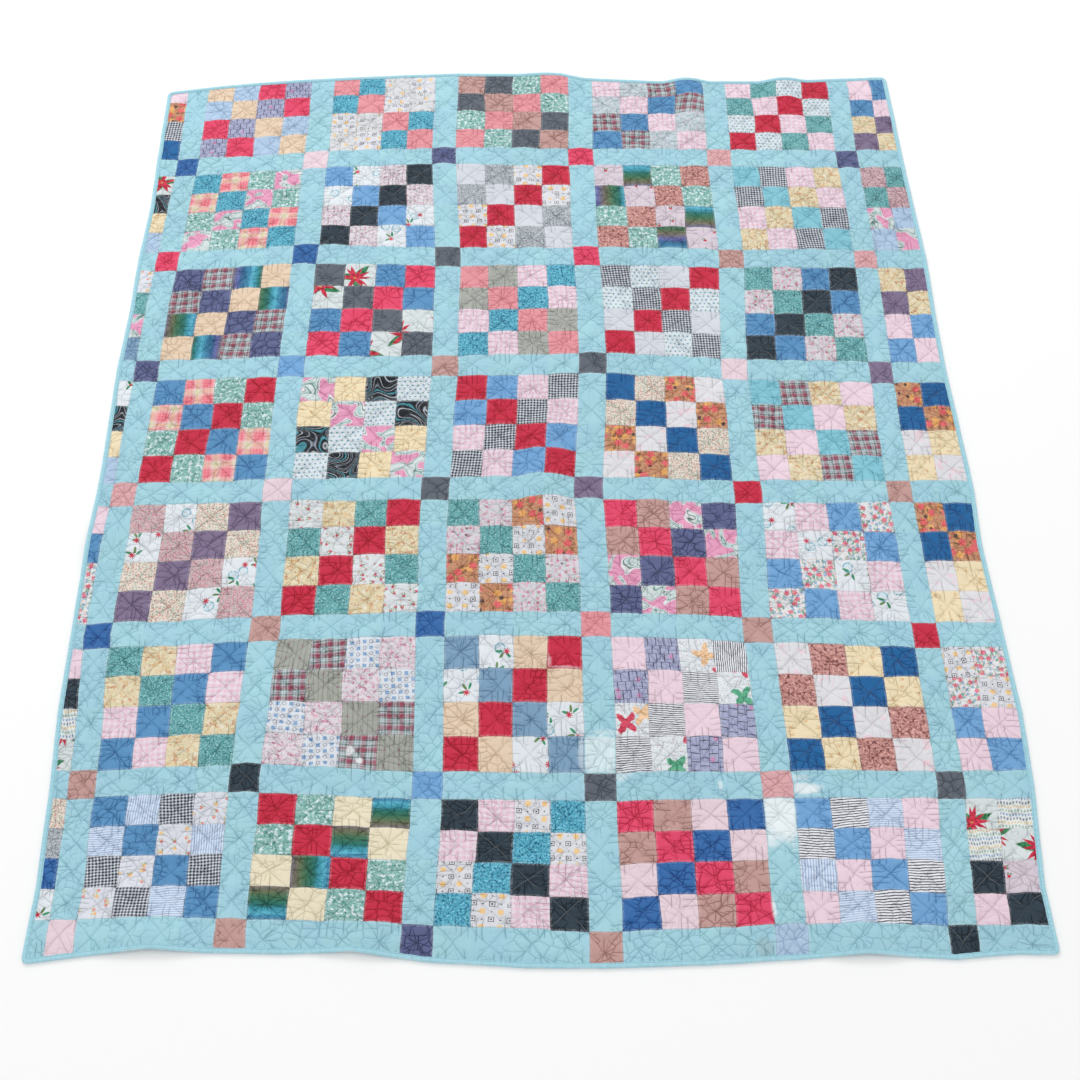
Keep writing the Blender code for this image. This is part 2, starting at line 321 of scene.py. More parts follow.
def whole_layout():
    """The fabric of each cell, by column and row."""
    layout = dict.fromkeys(np.ndindex(LAST_COLUMN + 1, LAST_ROW + 1), "aqua")
    for number, fabrics in enumerate(BLOCKS):
        band, place = divmod(number, BLOCKS_ACROSS)
        names = dict(zip("ABCD", fabrics.split()))
        for down, letters in enumerate(ARRANGED.get(number, CROSSED).split()):
            for across, letter in enumerate(letters):
                cell = (2 + place * SASH_PERIOD + across, band * SASH_PERIOD + down)
                layout[cell] = names[letter]
    for band in range(CROSSBARS):
        first_row = band * SASH_PERIOD
        for down, name in enumerate(LEFT_STRIP[band].split()):
            layout[0, first_row + down] = name
        for down, pair in enumerate(RIGHT_STRIP[band].split("/")):
            for across, name in enumerate(pair.split()):
                layout[LAST_COLUMN - 1 + across, first_row + down] = name
        for place, name in enumerate(CORNERSTONES[band].split()):
            layout[FIRST_UPRIGHT + place * SASH_PERIOD, first_row + BLOCK_CELLS] = name
    return layout


# ---------------------------------------------------------------- node wiring

# The mix node's colours, by their numbers among its inputs and its outputs.
MIXED_COLOURS = (6, 7)
COLOUR_RESULT = 2


class Wires:
    """Short names for adding nodes to a tree and joining them."""

    def __init__(self, tree):
        self.tree = tree

    def feed(self, socket, value):
        if isinstance(value, bpy.types.NodeSocket):
            self.tree.links.new(value, socket)
        else:
            socket.default_value = value

    def node(self, kind, fed=None, **settings):
        """A new node with these settings, and with a socket or a value fed to each named input."""
        made = self.tree.nodes.new(kind)
        for name, value in settings.items():
            setattr(made, name, value)
        for place, value in (fed or {}).items():
            self.feed(made.inputs[place], value)
        return made

    def calc(self, operation, *values, clamp=False):
        fed = dict(enumerate(values))
        return self.node("ShaderNodeMath", fed, operation=operation, use_clamp=clamp).outputs[0]

    def add(self, *values):
        return reduce(partial(self.calc, "ADD"), values)

    def times(self, *values):
        return reduce(partial(self.calc, "MULTIPLY"), values)

    def most(self, *values):
        return reduce(partial(self.calc, "MAXIMUM"), values)

    def vector(self, operation, first, second):
        fed = {0: first, 1: second}
        return self.node("ShaderNodeVectorMath", fed, operation=operation).outputs["Vector"]

    def scaled(self, vector, factor):
        fed = {0: vector, "Scale": factor}
        return self.node("ShaderNodeVectorMath", fed, operation="SCALE").outputs["Vector"]

    def length(self, vector):
        return self.node("ShaderNodeVectorMath", {0: vector}, operation="LENGTH").outputs["Value"]

    def moved(self, vector, x, y):
        return self.vector("ADD", vector, (x, y, 0.0))

    def stretched(self, vector, x, y):
        return self.vector("MULTIPLY", vector, (x, y, 0.0))

    def split(self, vector):
        return self.node("ShaderNodeSeparateXYZ", {0: vector}).outputs

    def join(self, x, y, z=0.0):
        return self.node("ShaderNodeCombineXYZ", {0: x, 1: y, 2: z}).outputs[0]

    def turn(self, vector, angle):
        fed = {"Vector": vector, "Angle": angle}
        return self.node("ShaderNodeVectorRotate", fed, rotation_type="Z_AXIS").outputs[0]

    def ramp(self, value, start, end):
        """Nothing at start, one at end, and smooth between them."""
        fed = dict(enumerate((value, start, end, 0.0, 1.0)))
        return self.node("ShaderNodeMapRange", fed, interpolation_type="SMOOTHSTEP").outputs[0]

    def mix(self, share, *colours):
        """Two colours mixed: each is a socket, or a colour's 0 to 255 screen values."""
        made = self.node("ShaderNodeMix", {0: share}, data_type="RGBA")
        for place, colour in zip(MIXED_COLOURS, colours):
            known = isinstance(colour, bpy.types.NodeSocket)
            self.feed(made.inputs[place], colour if known else tone(*colour))
        return made.outputs[COLOUR_RESULT]

    def painted_fold_shade(self, colour, shade):
        """The colour darkened by this share and made stronger: painted shade, as in a fold of the cloth.
        """
        fed = {"Color": colour, "Gamma": self.add(self.times(shade, 0.9), 1.0)}
        stronger = self.node("ShaderNodeGamma", fed).outputs["Color"]
        return self.scaled(stronger, self.calc("MULTIPLY_ADD", shade, -0.8, 1.0, clamp=True))

    def noise(self, vector, size, detail=2.0, roughness=0.5, output="Fac"):
        """Noise from 0 to 1 with features about this large, or the noise node's colour."""
        fed = {"Vector": vector, "Scale": 1.0 / size, "Detail": detail, "Roughness": roughness}
        return self.node("ShaderNodeTexNoise", fed, noise_dimensions="2D").outputs[output]

    def scatter(self, vector, size, randomness=1.0, **settings):
        """The Voronoi node's nearest point, with points about this far apart."""
        fed = {"Vector": vector, "Scale": 1.0 / size, "Randomness": randomness}
        return self.node("ShaderNodeTexVoronoi", fed, voronoi_dimensions="2D", **settings).outputs

    def cracks(self, vector, size):
        """Distance to the nearest edge of a network whose meshes are about this wide."""
        edges = self.scatter(vector, size, feature="DISTANCE_TO_EDGE")
        return self.times(edges["Distance"], size)

    def marks(self, value):
        """Distance to the nearest of a line's uneven marks, about one apart, and its own number."""
        fed = {"W": value, "Scale": 1.0}
        near = self.node("ShaderNodeTexVoronoi", fed, voronoi_dimensions="1D").outputs
        return near["Distance"], self.split(near["Color"])[0]

    def bumped(self, height):
        """The surface's normal where bumps of this height in metres lie on it."""
        fed = {"Strength": 1.0, "Distance": 1.0, "Height": height}
        return self.node("ShaderNodeBump", fed).outputs[0]


def tone(*screen):
    """A colour given by its 0 to 255 screen values."""
    shares = [value / 255 for value in screen]
    linear = [s / 12.92 if s <= 0.04045 else ((s + 0.055) / 1.055) ** 2.4 for s in shares]
    return (*linear, 1.0)


def darker(colour, share):
    return tuple(value * share for value in colour)


def attribute(w, name):
    return w.node("ShaderNodeAttribute", attribute_name=name).outputs["Vector"]


# ---------------------------------------------------------------- stitching and creases

DIAGONAL_APART = PATCH / math.sqrt(2)
RAYS = 10
RAYS_REACH = 0.021
RAYS_WHOLE = 0.006
RAYS_VARY = 0.012
TICKS_APART = 0.0115
TICKS_REACH = 0.018
TICKS_WHOLE = 0.010
TICKS_VARY = 0.016
TICKS_SHORTENED = 0.020
TICKS_LOST_IN_SASHES = 0.8
PICK_STEPS = (17.31, 23.77)
LINE_STEP = 5.7
NET_MESH = 0.023
FINE_NET_MESH = 0.0125
NET_FLATNESS = 1.30
NET_BEND = 0.060

# How each family of creases comes in: none below the first level, and whole above the second.
RAYS_SHOWN = (0.15, 0.60)
TICKS_SHOWN = (0.30, 0.80)
NET_SHOWN = (0.56, 0.86)
FINE_NET_SHOWN = (0.34, 0.64)
FANS_SHOWN = (0.88, 1.30)


def stitching(w, u, v):
    """Distance to the nearest stitched diagonal, in metres."""
    rising = w.calc("PINGPONG", w.add(u, v), 0.5)
    falling = w.calc("PINGPONG", w.calc("SUBTRACT", u, v), 0.5)
    return w.times(w.calc("MINIMUM", rising, falling), DIAGONAL_APART)


def star(w, u, v):
    """Distance to the nearest crease that fans out from the middle of a patch, and its strength."""
    across = w.calc("SUBTRACT", w.calc("FRACT", u), 0.5)
    down = w.calc("SUBTRACT", w.calc("FRACT", v), 0.5)
    radius = w.times(w.length(w.join(across, down)), PATCH)
    angle = w.calc("ARCTAN2", down, across)
    pick = w.add(*(w.times(w.calc("FLOOR", t), step) for t, step in zip((u, v), PICK_STEPS)))
    ray, own = w.marks(w.add(w.times(angle, RAYS / math.tau), pick))
    distance = w.times(ray, radius, math.tau / RAYS)
    reach = w.ramp(w.add(radius, w.times(own, -RAYS_VARY)), RAYS_REACH, RAYS_WHOLE)
    return distance, w.times(reach, w.ramp(own, *RAYS_SHOWN))


def off_sash(w, value, first):
    """The share of the ticks that is left in the sashes across this cell coordinate."""
    step = w.calc("WRAP", w.calc("FLOOR", value), SASH_PERIOD, 0.0)
    in_sash = w.calc("COMPARE", step, first, 0.5)
    return w.add(1.0, w.times(in_sash, -TICKS_LOST_IN_SASHES))


def ticks(w, along, across, shorter):
    """Distance to the nearest short crease that crosses a seam, and its strength."""
    line = w.times(w.calc("ROUND", across), LINE_STEP)
    mark, own = w.marks(w.add(w.times(along, PATCH / TICKS_APART), line))
    from_seam = w.times(w.calc("PINGPONG", across, 0.5), PATCH)
    from_seam = w.add(from_seam, w.times(shorter, TICKS_SHORTENED), w.times(own, -TICKS_VARY))
    reach = w.ramp(from_seam, TICKS_REACH, TICKS_WHOLE)
    return w.times(mark, TICKS_APART), w.times(reach, w.ramp(own, *TICKS_SHOWN))


def crease_lines(w, bent, breaks, crackle=1.0):
    """The stitching's distance, and each family of creases as its distance and its strength.

    The bent vector is the stored one: bent cell coordinates, and how creased the cloth is. The
    breaks vector holds three noises that break the creases up and bend them.
    """
    u, v, amount = w.split(bent)
    first, second, third = w.split(breaks)
    net_place = w.join(
        w.add(u, w.times(first, NET_BEND)),
        w.times(w.add(v, w.times(second, NET_BEND)), NET_FLATNESS),
    )
    net = w.times(w.cracks(net_place, NET_MESH / PATCH), PATCH)
    fine_net = w.times(w.cracks(net_place, FINE_NET_MESH / PATCH), PATCH)
    rays, rays_strength = star(w, u, v)
    over, over_strength = ticks(w, u, v, first)
    beside, beside_strength = ticks(w, v, u, second)
    net_share = w.ramp(w.add(amount, w.times(third, 0.5)), *NET_SHOWN)
    fine_share = w.ramp(w.add(first, w.times(amount, -0.6)), *FINE_NET_SHOWN)
    fanned = w.ramp(w.add(third, w.times(crackle, 0.6)), *FANS_SHOWN)
    families = (
        (rays, w.times(rays_strength, fanned)),
        (over, w.times(over_strength, off_sash(w, u, FIRST_UPRIGHT))),
        (beside, w.times(beside_strength, off_sash(w, v, FIRST_CROSSBAR))),
        (net, w.times(net_share, crackle)),
        (fine_net, w.times(fine_share, crackle)),
    )
    return stitching(w, u, v), families


def creased(w, families, width):
    """One on the creases, falling to nothing at this distance from them."""
    return w.most(*(w.times(w.ramp(distance, width, 0.0), share) for distance, share in families))


# ---------------------------------------------------------------- shared material groups

BOLT = 7.0
PICK_SPREAD = 37.0
CROOKED = 0.10
THIN_CREASE = 0.0011
BROAD_CREASE = 0.0048
TROUGH_WIDTH = 0.0045
BLEACHED = (233, 240, 242)
STAINED = (150, 130, 105)
RUBBED = (236, 236, 236)
THREAD = (170, 178, 182)


def new_group(name, inputs, outputs, kind="ShaderNodeTree"):
    """An empty node group with these sockets: pairs of a name and a kind."""
    tree = bpy.data.node_groups.new(name, kind)
    for direction, sockets in (("INPUT", inputs), ("OUTPUT", outputs)):
        for label, socket in sockets:
            tree.interface.new_socket(label, in_out=direction, socket_type="NodeSocket" + socket)
    w = Wires(tree)
    return w, w.node("NodeGroupInput").outputs, w.node("NodeGroupOutput").inputs


def threads(w, place, x, y):
    """The unevenness of one way of the weave, whose threads are this fine in x and in y."""
    return w.noise(w.stretched(place, x, y), 0.006, 1.0)


def make_place_group():
    """Where a point lies on the bolt of cloth that its patch was cut from, in metres."""
    w, _, out = new_group("cloth_place", (), (("Place", "Vector"),))
    pick, turned, tilt = w.split(attribute(w, "patch"))
    flat = w.stretched(w.scaled(attribute(w, "cells"), PATCH), 1.0, 1.0)
    angle = w.add(w.times(turned, math.pi / 2), w.times(tilt, CROOKED))
    spread = w.calc("FRACT", w.times(pick, PICK_SPREAD))
    offset = w.join(w.times(pick, BOLT), w.times(spread, BOLT))
    w.feed(out["Place"], w.vector("ADD", w.turn(flat, angle), offset))


def worn_print(w, colour, slub, from_seam):
    """A print with its weave, and bleached, stained and rubbed at the seams as the cloth was."""
    bleach, dirt, tone_level = w.split(attribute(w, "wear"))
    value = w.add(0.84, w.times(slub, 0.11), w.times(tone_level, 0.09))
    colour = w.mix(bleach, w.scaled(colour, value), BLEACHED)
    colour = w.mix(dirt, colour, STAINED)
    rubbed = w.times(w.ramp(from_seam, 0.0042, 0.0016), w.ramp(slub, 0.90, 1.16))
    return w.mix(w.times(rubbed, 0.22), colour, RUBBED)


def make_finish_and_shade_group():
    """What every patch has over its print: weave, wear, stitching thread, crease bumps, and painted shade
    at seams, stitching and creases.
    """
    # Lines sets how dark the painted shade in the creases and stitching is.
    numbers = [(name, "Float") for name in ("Lines", "Thread", "Crackle")]
    inputs = [("Print", "Color"), ("Place", "Vector"), *numbers]
    w, given, out = new_group("cloth_finish_and_shade", inputs, (("Colour", "Color"), ("Normal", "Vector")))
    stored = attribute(w, "bent"), attribute(w, "breaks")
    stitched, families = crease_lines(w, *stored, given["Crackle"])
    thin = creased(w, families, THIN_CREASE)
    broad = creased(w, families, BROAD_CREASE)
    shown = w.ramp(w.split(stored[1])[2], 0.20, 0.60)
    groove = w.times(w.ramp(stitched, 0.0010, 0.0003), w.add(0.35, w.times(shown, 0.65)))
    trough = w.ramp(stitched, TROUGH_WIDTH, 0.0)

    from_seam = w.split(attribute(w, "cells"))[2]
    slub = w.add(threads(w, given["Place"], 1.0, 7.0), threads(w, given["Place"], 7.0, 1.0))
    # Painted shade: darker within 1.3 mm of each seam, along the crease lines, in the stitching grooves,
    # and softly over broad creases and stitching troughs.
    edge = w.times(w.ramp(from_seam, 0.0013, 0.0), 0.18)
    lines = w.times(w.most(thin, w.times(groove, 0.68)), given["Lines"])
    shade = w.add(edge, lines, w.times(broad, 0.05), w.times(trough, 0.05))
    # The print darkened and deepened by this painted shade; the stitching's thread is laid over it.
    colour = w.painted_fold_shade(worn_print(w, given["Print"], slub, from_seam), shade)
    w.feed(out["Colour"], w.mix(w.times(groove, given["Thread"]), colour, THREAD))

    depths = ((thin, -0.00034), (broad, -0.00038), (trough, -0.00034), (slub, 0.00012))
    w.feed(out["Normal"], w.bumped(w.add(*(w.times(share, depth) for share, depth in depths))))


# ---------------------------------------------------------------- prints


def bands(w, value, period, share=0.5, soft=0.12):
    """One in the bands that cross a coordinate and nothing between them."""
    triangle = w.times(w.calc("PINGPONG", value, period / 2), 2 / period)
    return w.ramp(triangle, share + soft, share - soft)


def ring(w, distance, outer, inner, soft):
    """One between these distances from a middle, with edges this soft."""
    within = w.ramp(distance, outer + soft, outer - soft)
    return w.times(within, w.ramp(distance, inner - soft, inner + soft))


def plain(w, place, colour):
    fleck = w.noise(place, 0.0035, 1.0)
    return w.mix(w.times(fleck, 0.16), colour, darker(colour, 0.80))


def drifted(w, place, colour, other):
    """A plain cloth whose dye has drifted a little towards another tone."""
    return w.mix(w.ramp(w.noise(place, 0.11), 0.40, 0.66), plain(w, place, colour), other)


def gingham(w, place, ground, dark, check, share=0.5, soft=0.12):
    ways = [bands(w, t, 2 * check, share, soft) for t in w.split(place)[:2]]
    return w.mix(w.times(w.add(*ways), 0.5), ground, dark)


def colour_ramp(w, value, stops, interpolation):
    """The colour at a value from 0 to 1, from pairs of a position and a colour."""
    ramp = w.node("ShaderNodeValToRGB", {0: value})
    ramp.color_ramp.interpolation = interpolation
    elements = ramp.color_ramp.elements
    while len(elements) < len(stops):
        elements.new(1.0)
    for element, (position, colour) in zip(elements, stops):
        element.position = position
        element.color = tone(*colour)
    return ramp.outputs[0]


def plaid(w, place, stops, period, share=0.5):
    """The same stripes both ways, woven into each other."""
    repeats = [w.calc("FRACT", w.times(t, 1 / period)) for t in w.split(place)[:2]]
    return w.mix(share, *(colour_ramp(w, repeat, stops, "LINEAR") for repeat in repeats))


def striped(w, place, ground, line, period, share, shaky=0.0):
    y = w.split(place)[1]
    if shaky:
        y = w.add(y, w.times(w.noise(place, 0.012), shaky))
    return w.mix(bands(w, y, period, share), ground, line)


def ombre(w, place, colours):
    """Bands that melt into each other along the cloth, with finer stripes in them."""
    along = w.calc("FRACT", w.times(w.split(place)[1], 1 / OMBRE_PERIOD))
    stops = [(number / (len(colours) - 1), colour) for number, colour in enumerate(colours)]
    fine = w.noise(w.stretched(place, 0.1, 1.0), 0.0025)
    stripes = w.times(w.ramp(fine, 0.45, 0.75), 0.35)
    return w.mix(stripes, colour_ramp(w, along, stops, "EASE"), (40, 70, 90))


def mottled(w, place, ground, marks, size, amount):
    """Blotches of a few colours, each from its own noise."""
    colour = ground
    for number, mark in enumerate(marks):
        blot = w.noise(w.moved(place, 0.37 * number, 0.11 * number), size, 2.5, 0.65)
        colour = w.mix(w.ramp(blot, 0.60 - 0.12 * amount, 0.68 - 0.12 * amount), colour, mark)
    return colour


def scrolls(w, place, ground, line, size, fine):
    """Winding lines of one colour, as in leaf and fern prints."""
    winding = w.calc("PINGPONG", w.times(w.noise(place, size, 1.0), 6.0), 0.5)
    broken = w.ramp(w.noise(place, size * 0.6, 1.0), 0.40, 0.52)
    return w.mix(w.times(w.ramp(winding, 0.5 - fine * 4, 0.5 - fine), broken), ground, line)


def curled(w, place, size, pull):
    """The place pulled about by a slow noise, so that what is drawn at it curls."""
    return w.vector("ADD", place, w.scaled(w.noise(place, size, 0.0, output="Color"), size * pull))


def paisley(w, place, ground, contours, size):
    """Curling forms on a ground: each contour is a level from 0 to 1 and the colour above it."""
    level = w.noise(curled(w, place, size, 0.9), size * 0.55, 0.5)
    colour = ground
    for start, mark in contours:
        colour = w.mix(w.ramp(level, start - 0.006, start + 0.006), colour, mark)
    return colour


def marbled(w, place, ground, flows, size):
    """Thin drifting outlines, as in a dark paisley: each flow's first and last level and colour."""
    level = w.calc("FRACT", w.times(w.noise(curled(w, place, size, 1.6), size * 0.8, 0.0), 3.6))
    colour = ground
    for start, end, mark in flows:
        inside = w.times(w.ramp(level, start - 0.03, start + 0.03), w.ramp(level, end + 0.03, end - 0.03))
        colour = w.mix(inside, colour, mark)
    return colour


def motif_frame(w, place, apart, randomness=0.8):
    """The place within the nearest motif, turned its own way, and its own number from 0 to 1."""
    near = w.scatter(place, apart, randomness)
    own = w.split(near["Color"])[0]
    return w.turn(w.vector("SUBTRACT", place, near["Position"]), w.times(own, math.tau)), own


def flower(w, local, radius, petals, deep=0.18):
    """One inside a flower of this radius."""
    x, y = w.split(local)[:2]
    angle = w.times(w.calc("ARCTAN2", y, x), petals)
    wave = w.most(w.add(w.times(w.calc("COSINE", angle), deep), 1.0 - deep), 0.05)
    return w.ramp(w.calc("DIVIDE", w.length(local), w.times(wave, radius)), 1.12, 0.92)


def pointed_flower(w, local, radius, petals, heart=0.26):
    """One inside a flower of pointed petals, which meet at this share of its radius."""
    x, y = w.split(local)[:2]
    turn = w.times(w.calc("ARCTAN2", y, x), petals / math.tau)
    from_tip = w.times(w.calc("PINGPONG", turn, 0.5), 2.0)
    edge = w.most(w.add(1.0, w.times(w.calc("POWER", from_tip, 0.7), -1.0)), heart)
    return w.ramp(w.calc("DIVIDE", w.length(local), w.times(edge, radius)), 1.08, 0.94)


def oval(w, local, middle, half_length, half_width):
    off_middle = w.vector("SUBTRACT", local, (*middle, 0.0))
    return w.ramp(w.length(w.stretched(off_middle, 1 / half_length, 1 / half_width)), 1.12, 0.92)


def sprigs(w, place, ground, layers, blots):
    """Flowers scattered on a ground, a layer for each kind.

    A layer is the colour of its petals, the colour of its leaves or None, the distance between
    flowers, their radius, and how many of them are there, from 0 to 1. The ground may be blotted.
    """
    colour = mottled(w, place, ground, blots, 0.006, 0.3)
    for number, (petal, leaf, apart, radius, share) in enumerate(layers):
        local, own = motif_frame(w, w.moved(place, 0.53 * number, 0.29 * number), apart)
        shown = w.calc("LESS_THAN", own, share)
        for side in (-1, 1) if leaf else ():
            leaf_at = (radius * 1.2, side * radius * 0.7)
            inside = oval(w, local, leaf_at, radius * 0.9, radius * 0.35)
            colour = w.mix(w.times(inside, shown), colour, leaf)
        colour = w.mix(w.times(flower(w, local, radius, 5), shown), colour, petal)
    return colour


def lattice(w, value, period):
    """The distance from the middle of a repeat, from minus to plus half the period."""
    return w.calc("WRAP", value, period / 2, -period / 2)


def staggered(w, x, y, pitch, shift):
    """The x coordinate, moved on by this shift in every row."""
    return w.add(x, w.times(w.calc("ROUND", w.times(y, 1 / pitch)), shift))


def boxed(w, x, y, half):
    """One inside a square of this half width."""
    reach = w.most(w.calc("ABSOLUTE", x), w.calc("ABSOLUTE", y))
    return w.ramp(reach, half + 0.0003, half - 0.0003)


def squares_print(w, place, ground, ink, warm, amount=1.0):
    """Rows of small outlined squares and dots, between rows of soft yellow blots."""
    period = 0.0285
    x, y = w.split(place)[:2]
    ink_x, ink_y = lattice(w, x, period), lattice(w, y, period)
    mid_x, mid_y = [lattice(w, w.add(t, period / 2), period) for t in (x, y)]
    hollow = w.calc("SUBTRACT", 1.0, boxed(w, ink_x, ink_y, 0.0036))
    outline = w.times(boxed(w, ink_x, ink_y, 0.0047), hollow)
    middle = boxed(w, ink_x, ink_y, 0.0014)
    dot = w.most(boxed(w, mid_x, ink_y, 0.0012), boxed(w, ink_x, mid_y, 0.0009))
    wavy = w.times(w.noise(place, 0.005), 0.004)
    blot = w.ramp(w.add(w.length(w.join(mid_x, mid_y)), wavy), 0.0078, 0.0068)
    shown = w.ramp(w.noise(place, 0.030, 0.0), 0.62 - 0.4 * amount, 0.66 - 0.4 * amount)
    colour = w.mix(w.times(blot, w.times(shown, 0.85)), ground, warm)
    return w.mix(w.times(w.most(outline, middle, dot), shown), colour, ink)


def squares_and_rings(w, place, ground, square, round_mark, pitch=0.0118):
    """Blotted little squares and rings, turn about in rows."""
    x, y = w.split(place)[:2]
    stepped = staggered(w, x, y, pitch, pitch)
    square_x = lattice(w, stepped, 2 * pitch)
    ring_x = lattice(w, w.add(stepped, pitch), 2 * pitch)
    near_y = lattice(w, y, pitch)
    blotted = w.add(w.times(w.noise(place, 0.0016), 0.7), 0.35)
    colour = w.mix(w.times(boxed(w, square_x, near_y, 0.0034), blotted), ground, square)
    band = ring(w, w.length(w.join(ring_x, near_y)), 0.0037, 0.0023, 0.0003)
    return w.mix(w.times(band, 0.8), colour, round_mark)


def flecked_stripes(w, place, ground, line, fleck, period):
    """Faint pinstripes, with a little lozenge now and then between them."""
    x, y = w.split(place)[:2]
    near_x = lattice(w, w.add(x, period), 3 * period)
    near_y = lattice(w, y, 3.1 * period)
    reach = w.add(w.calc("ABSOLUTE", near_x), w.calc("ABSOLUTE", near_y))
    colour = w.mix(bands(w, x, period, 0.16), ground, line)
    return w.mix(w.ramp(reach, 0.0026, 0.0018), colour, fleck)


def brick_print(w, place, ground, mark, blotch, wide=0.0148, tall=0.0160):
    """Staggered dark bars with thin lines between their rows, and a few pink blotches."""
    x, y = w.split(place)[:2]
    x = w.add(x, w.times(w.noise(place, 0.009), 0.0022))
    from_bar = w.calc("ABSOLUTE", lattice(w, staggered(w, x, y, tall, wide / 2), wide))
    from_row = w.calc("ABSOLUTE", lattice(w, y, tall))
    bar = w.times(w.ramp(from_bar, 0.0010, 0.0005), w.ramp(from_row, tall * 0.50, tall * 0.44))
    line = w.times(w.ramp(from_row, tall * 0.455, tall * 0.485), 0.85)
    fleck = w.ramp(w.noise(place, 0.0030), 0.50, 0.66)
    colour = w.mix(w.times(fleck, 0.45), ground, (196, 196, 216))
    local, own = motif_frame(w, place, 0.030, 0.9)
    spot = w.times(flower(w, local, 0.0050, 5), w.calc("LESS_THAN", own, 0.45))
    colour = w.mix(w.times(spot, 0.7), colour, blotch)
    return w.mix(w.most(bar, line), colour, mark)


def dotted(w, place, ground, marks, apart, radius, randomness):
    near = w.scatter(place, apart, randomness)
    dot = w.ramp(w.times(near["Distance"], apart), radius * 1.25, radius * 0.8)
    ink = w.mix(w.calc("GREATER_THAN", w.split(near["Color"])[1], 0.5), *marks)
    return w.mix(w.times(dot, 0.85), ground, ink)


def dot_rows(w, place, ground, marks, pitch, radius):
    """Staggered rows of dots, in two colours turn about."""
    x, y = w.split(place)[:2]
    stepped = staggered(w, x, y, pitch, pitch / 2)
    near_y = lattice(w, y, pitch)
    colour = ground
    for number, mark in enumerate(marks):
        near_x = lattice(w, w.add(stepped, number * pitch), 2 * pitch)
        reach = w.length(w.join(near_x, near_y))
        colour = w.mix(w.ramp(reach, radius * 1.2, radius * 0.8), colour, mark)
    return colour


def dotted_rows(w, place, ground, marks, period):
    """Wavy rows of short dashes in several colours."""
    x, y = w.split(place)[:2]
    y = w.add(y, w.times(w.calc("SINE", w.times(x, 260.0)), 0.0012))
    colour = ground
    for number, mark in enumerate(marks):
        row = bands(w, w.add(y, number * period / len(marks)), period, 0.16, 0.06)
        dash = bands(w, w.add(x, 0.0013 * number), 0.0052, 0.55, 0.10)
        colour = w.mix(w.times(row, dash, 0.9), colour, mark)
    return colour


def large_flower(w, place, ground, petal, deep_petal, leaf, heart, apart=0.096, radius=0.036):
    """Big pointed red flowers with green leaves under them."""
    local = motif_frame(w, place, apart, 0.55)[0]
    vein = w.ramp(w.noise(place, 0.006), 0.45, 0.60)
    leaves = pointed_flower(w, w.turn(local, 0.35), radius * 1.25, 3, 0.1)
    colour = w.mix(leaves, ground, w.mix(vein, leaf, darker(leaf, 0.7)))
    petals = w.mix(vein, petal, deep_petal)
    under = pointed_flower(w, w.turn(local, 0.55), radius * 0.92, 6)
    colour = w.mix(under, colour, w.mix(0.35, petals, deep_petal))
    colour = w.mix(pointed_flower(w, local, radius, 5), colour, petals)
    core = dotted(w, place, deep_petal, (heart, heart), 0.0022, 0.0008, 0.35)
    return w.mix(w.ramp(w.length(local), 0.0035, 0.0025), colour, core)


def festive_print(w, place, ground):
    """Sparse sprays: red flowers, green leaves and pale blue wreaths on white."""
    local, own = motif_frame(w, place, 0.046, 0.75)
    distance = w.length(w.vector("SUBTRACT", local, (0.009, 0.003, 0.0)))
    leafy = w.ramp(w.noise(place, 0.0045), 0.36, 0.48)
    wreathed = w.calc("GREATER_THAN", own, 0.40)
    inside = w.times(w.ramp(distance, 0.0100, 0.0080), wreathed)
    colour = w.mix(w.times(inside, 0.25), ground, (176, 214, 226))
    wreath = w.times(ring(w, distance, 0.0100, 0.0074, 0.0008), leafy, wreathed)
    colour = w.mix(w.times(wreath, 0.85), colour, (106, 172, 192))
    for angle, green in ((0.3, (60, 150, 110)), (1.2, (110, 140, 90)), (2.4, (60, 150, 110))):
        leaf = oval(w, w.turn(local, angle), (0.0105, 0.0), 0.0066, 0.0023)
        colour = w.mix(w.times(leaf, w.calc("LESS_THAN", own, 0.50)), colour, green)
    petals = flower(w, w.moved(local, 0.004, 0.001), 0.0066, 8, 0.30)
    shown = w.calc("LESS_THAN", w.calc("FRACT", w.times(own, 7.0)), 0.6)
    return w.mix(w.times(petals, shown), colour, (200, 55, 80))


def holly_print(w, place, ground):
    """Holly leaves in threes with red berries."""
    local = motif_frame(w, place, 0.034, 0.7)[0]
    colour = ground
    for number in range(3):
        leaf = oval(w, w.turn(local, number * 2.1), (0.0065, 0.0), 0.0068, 0.0026)
        colour = w.mix(leaf, colour, (45, 130, 85))
    return w.mix(w.ramp(w.length(local), 0.0030, 0.0024), colour, (205, 40, 60))


def big_motif(w, place, ground, marks):
    """A white ground with fine specks and now and then a rounded leafy form."""
    colour = dotted(w, place, ground, ((196, 130, 130), (160, 176, 160)), 0.0066, 0.0009, 0.8)
    for number, mark in enumerate(marks):
        local, own = motif_frame(w, w.moved(place, 0.41 * number, 0.23 * number), 0.088, 0.7)
        wavy = w.vector("ADD", local, w.scaled(w.noise(place, 0.012, output="Color"), 0.008))
        inside = w.times(flower(w, wavy, 0.0225, 4, 0.30), w.calc("LESS_THAN", own, 0.55))
        spots = w.times(w.ramp(w.noise(place, 0.005), 0.52, 0.60), 0.5)
        colour = w.mix(inside, colour, w.mix(spots, mark, darker(mark, 0.75)))
    return colour


WHITE = (221, 227, 232)

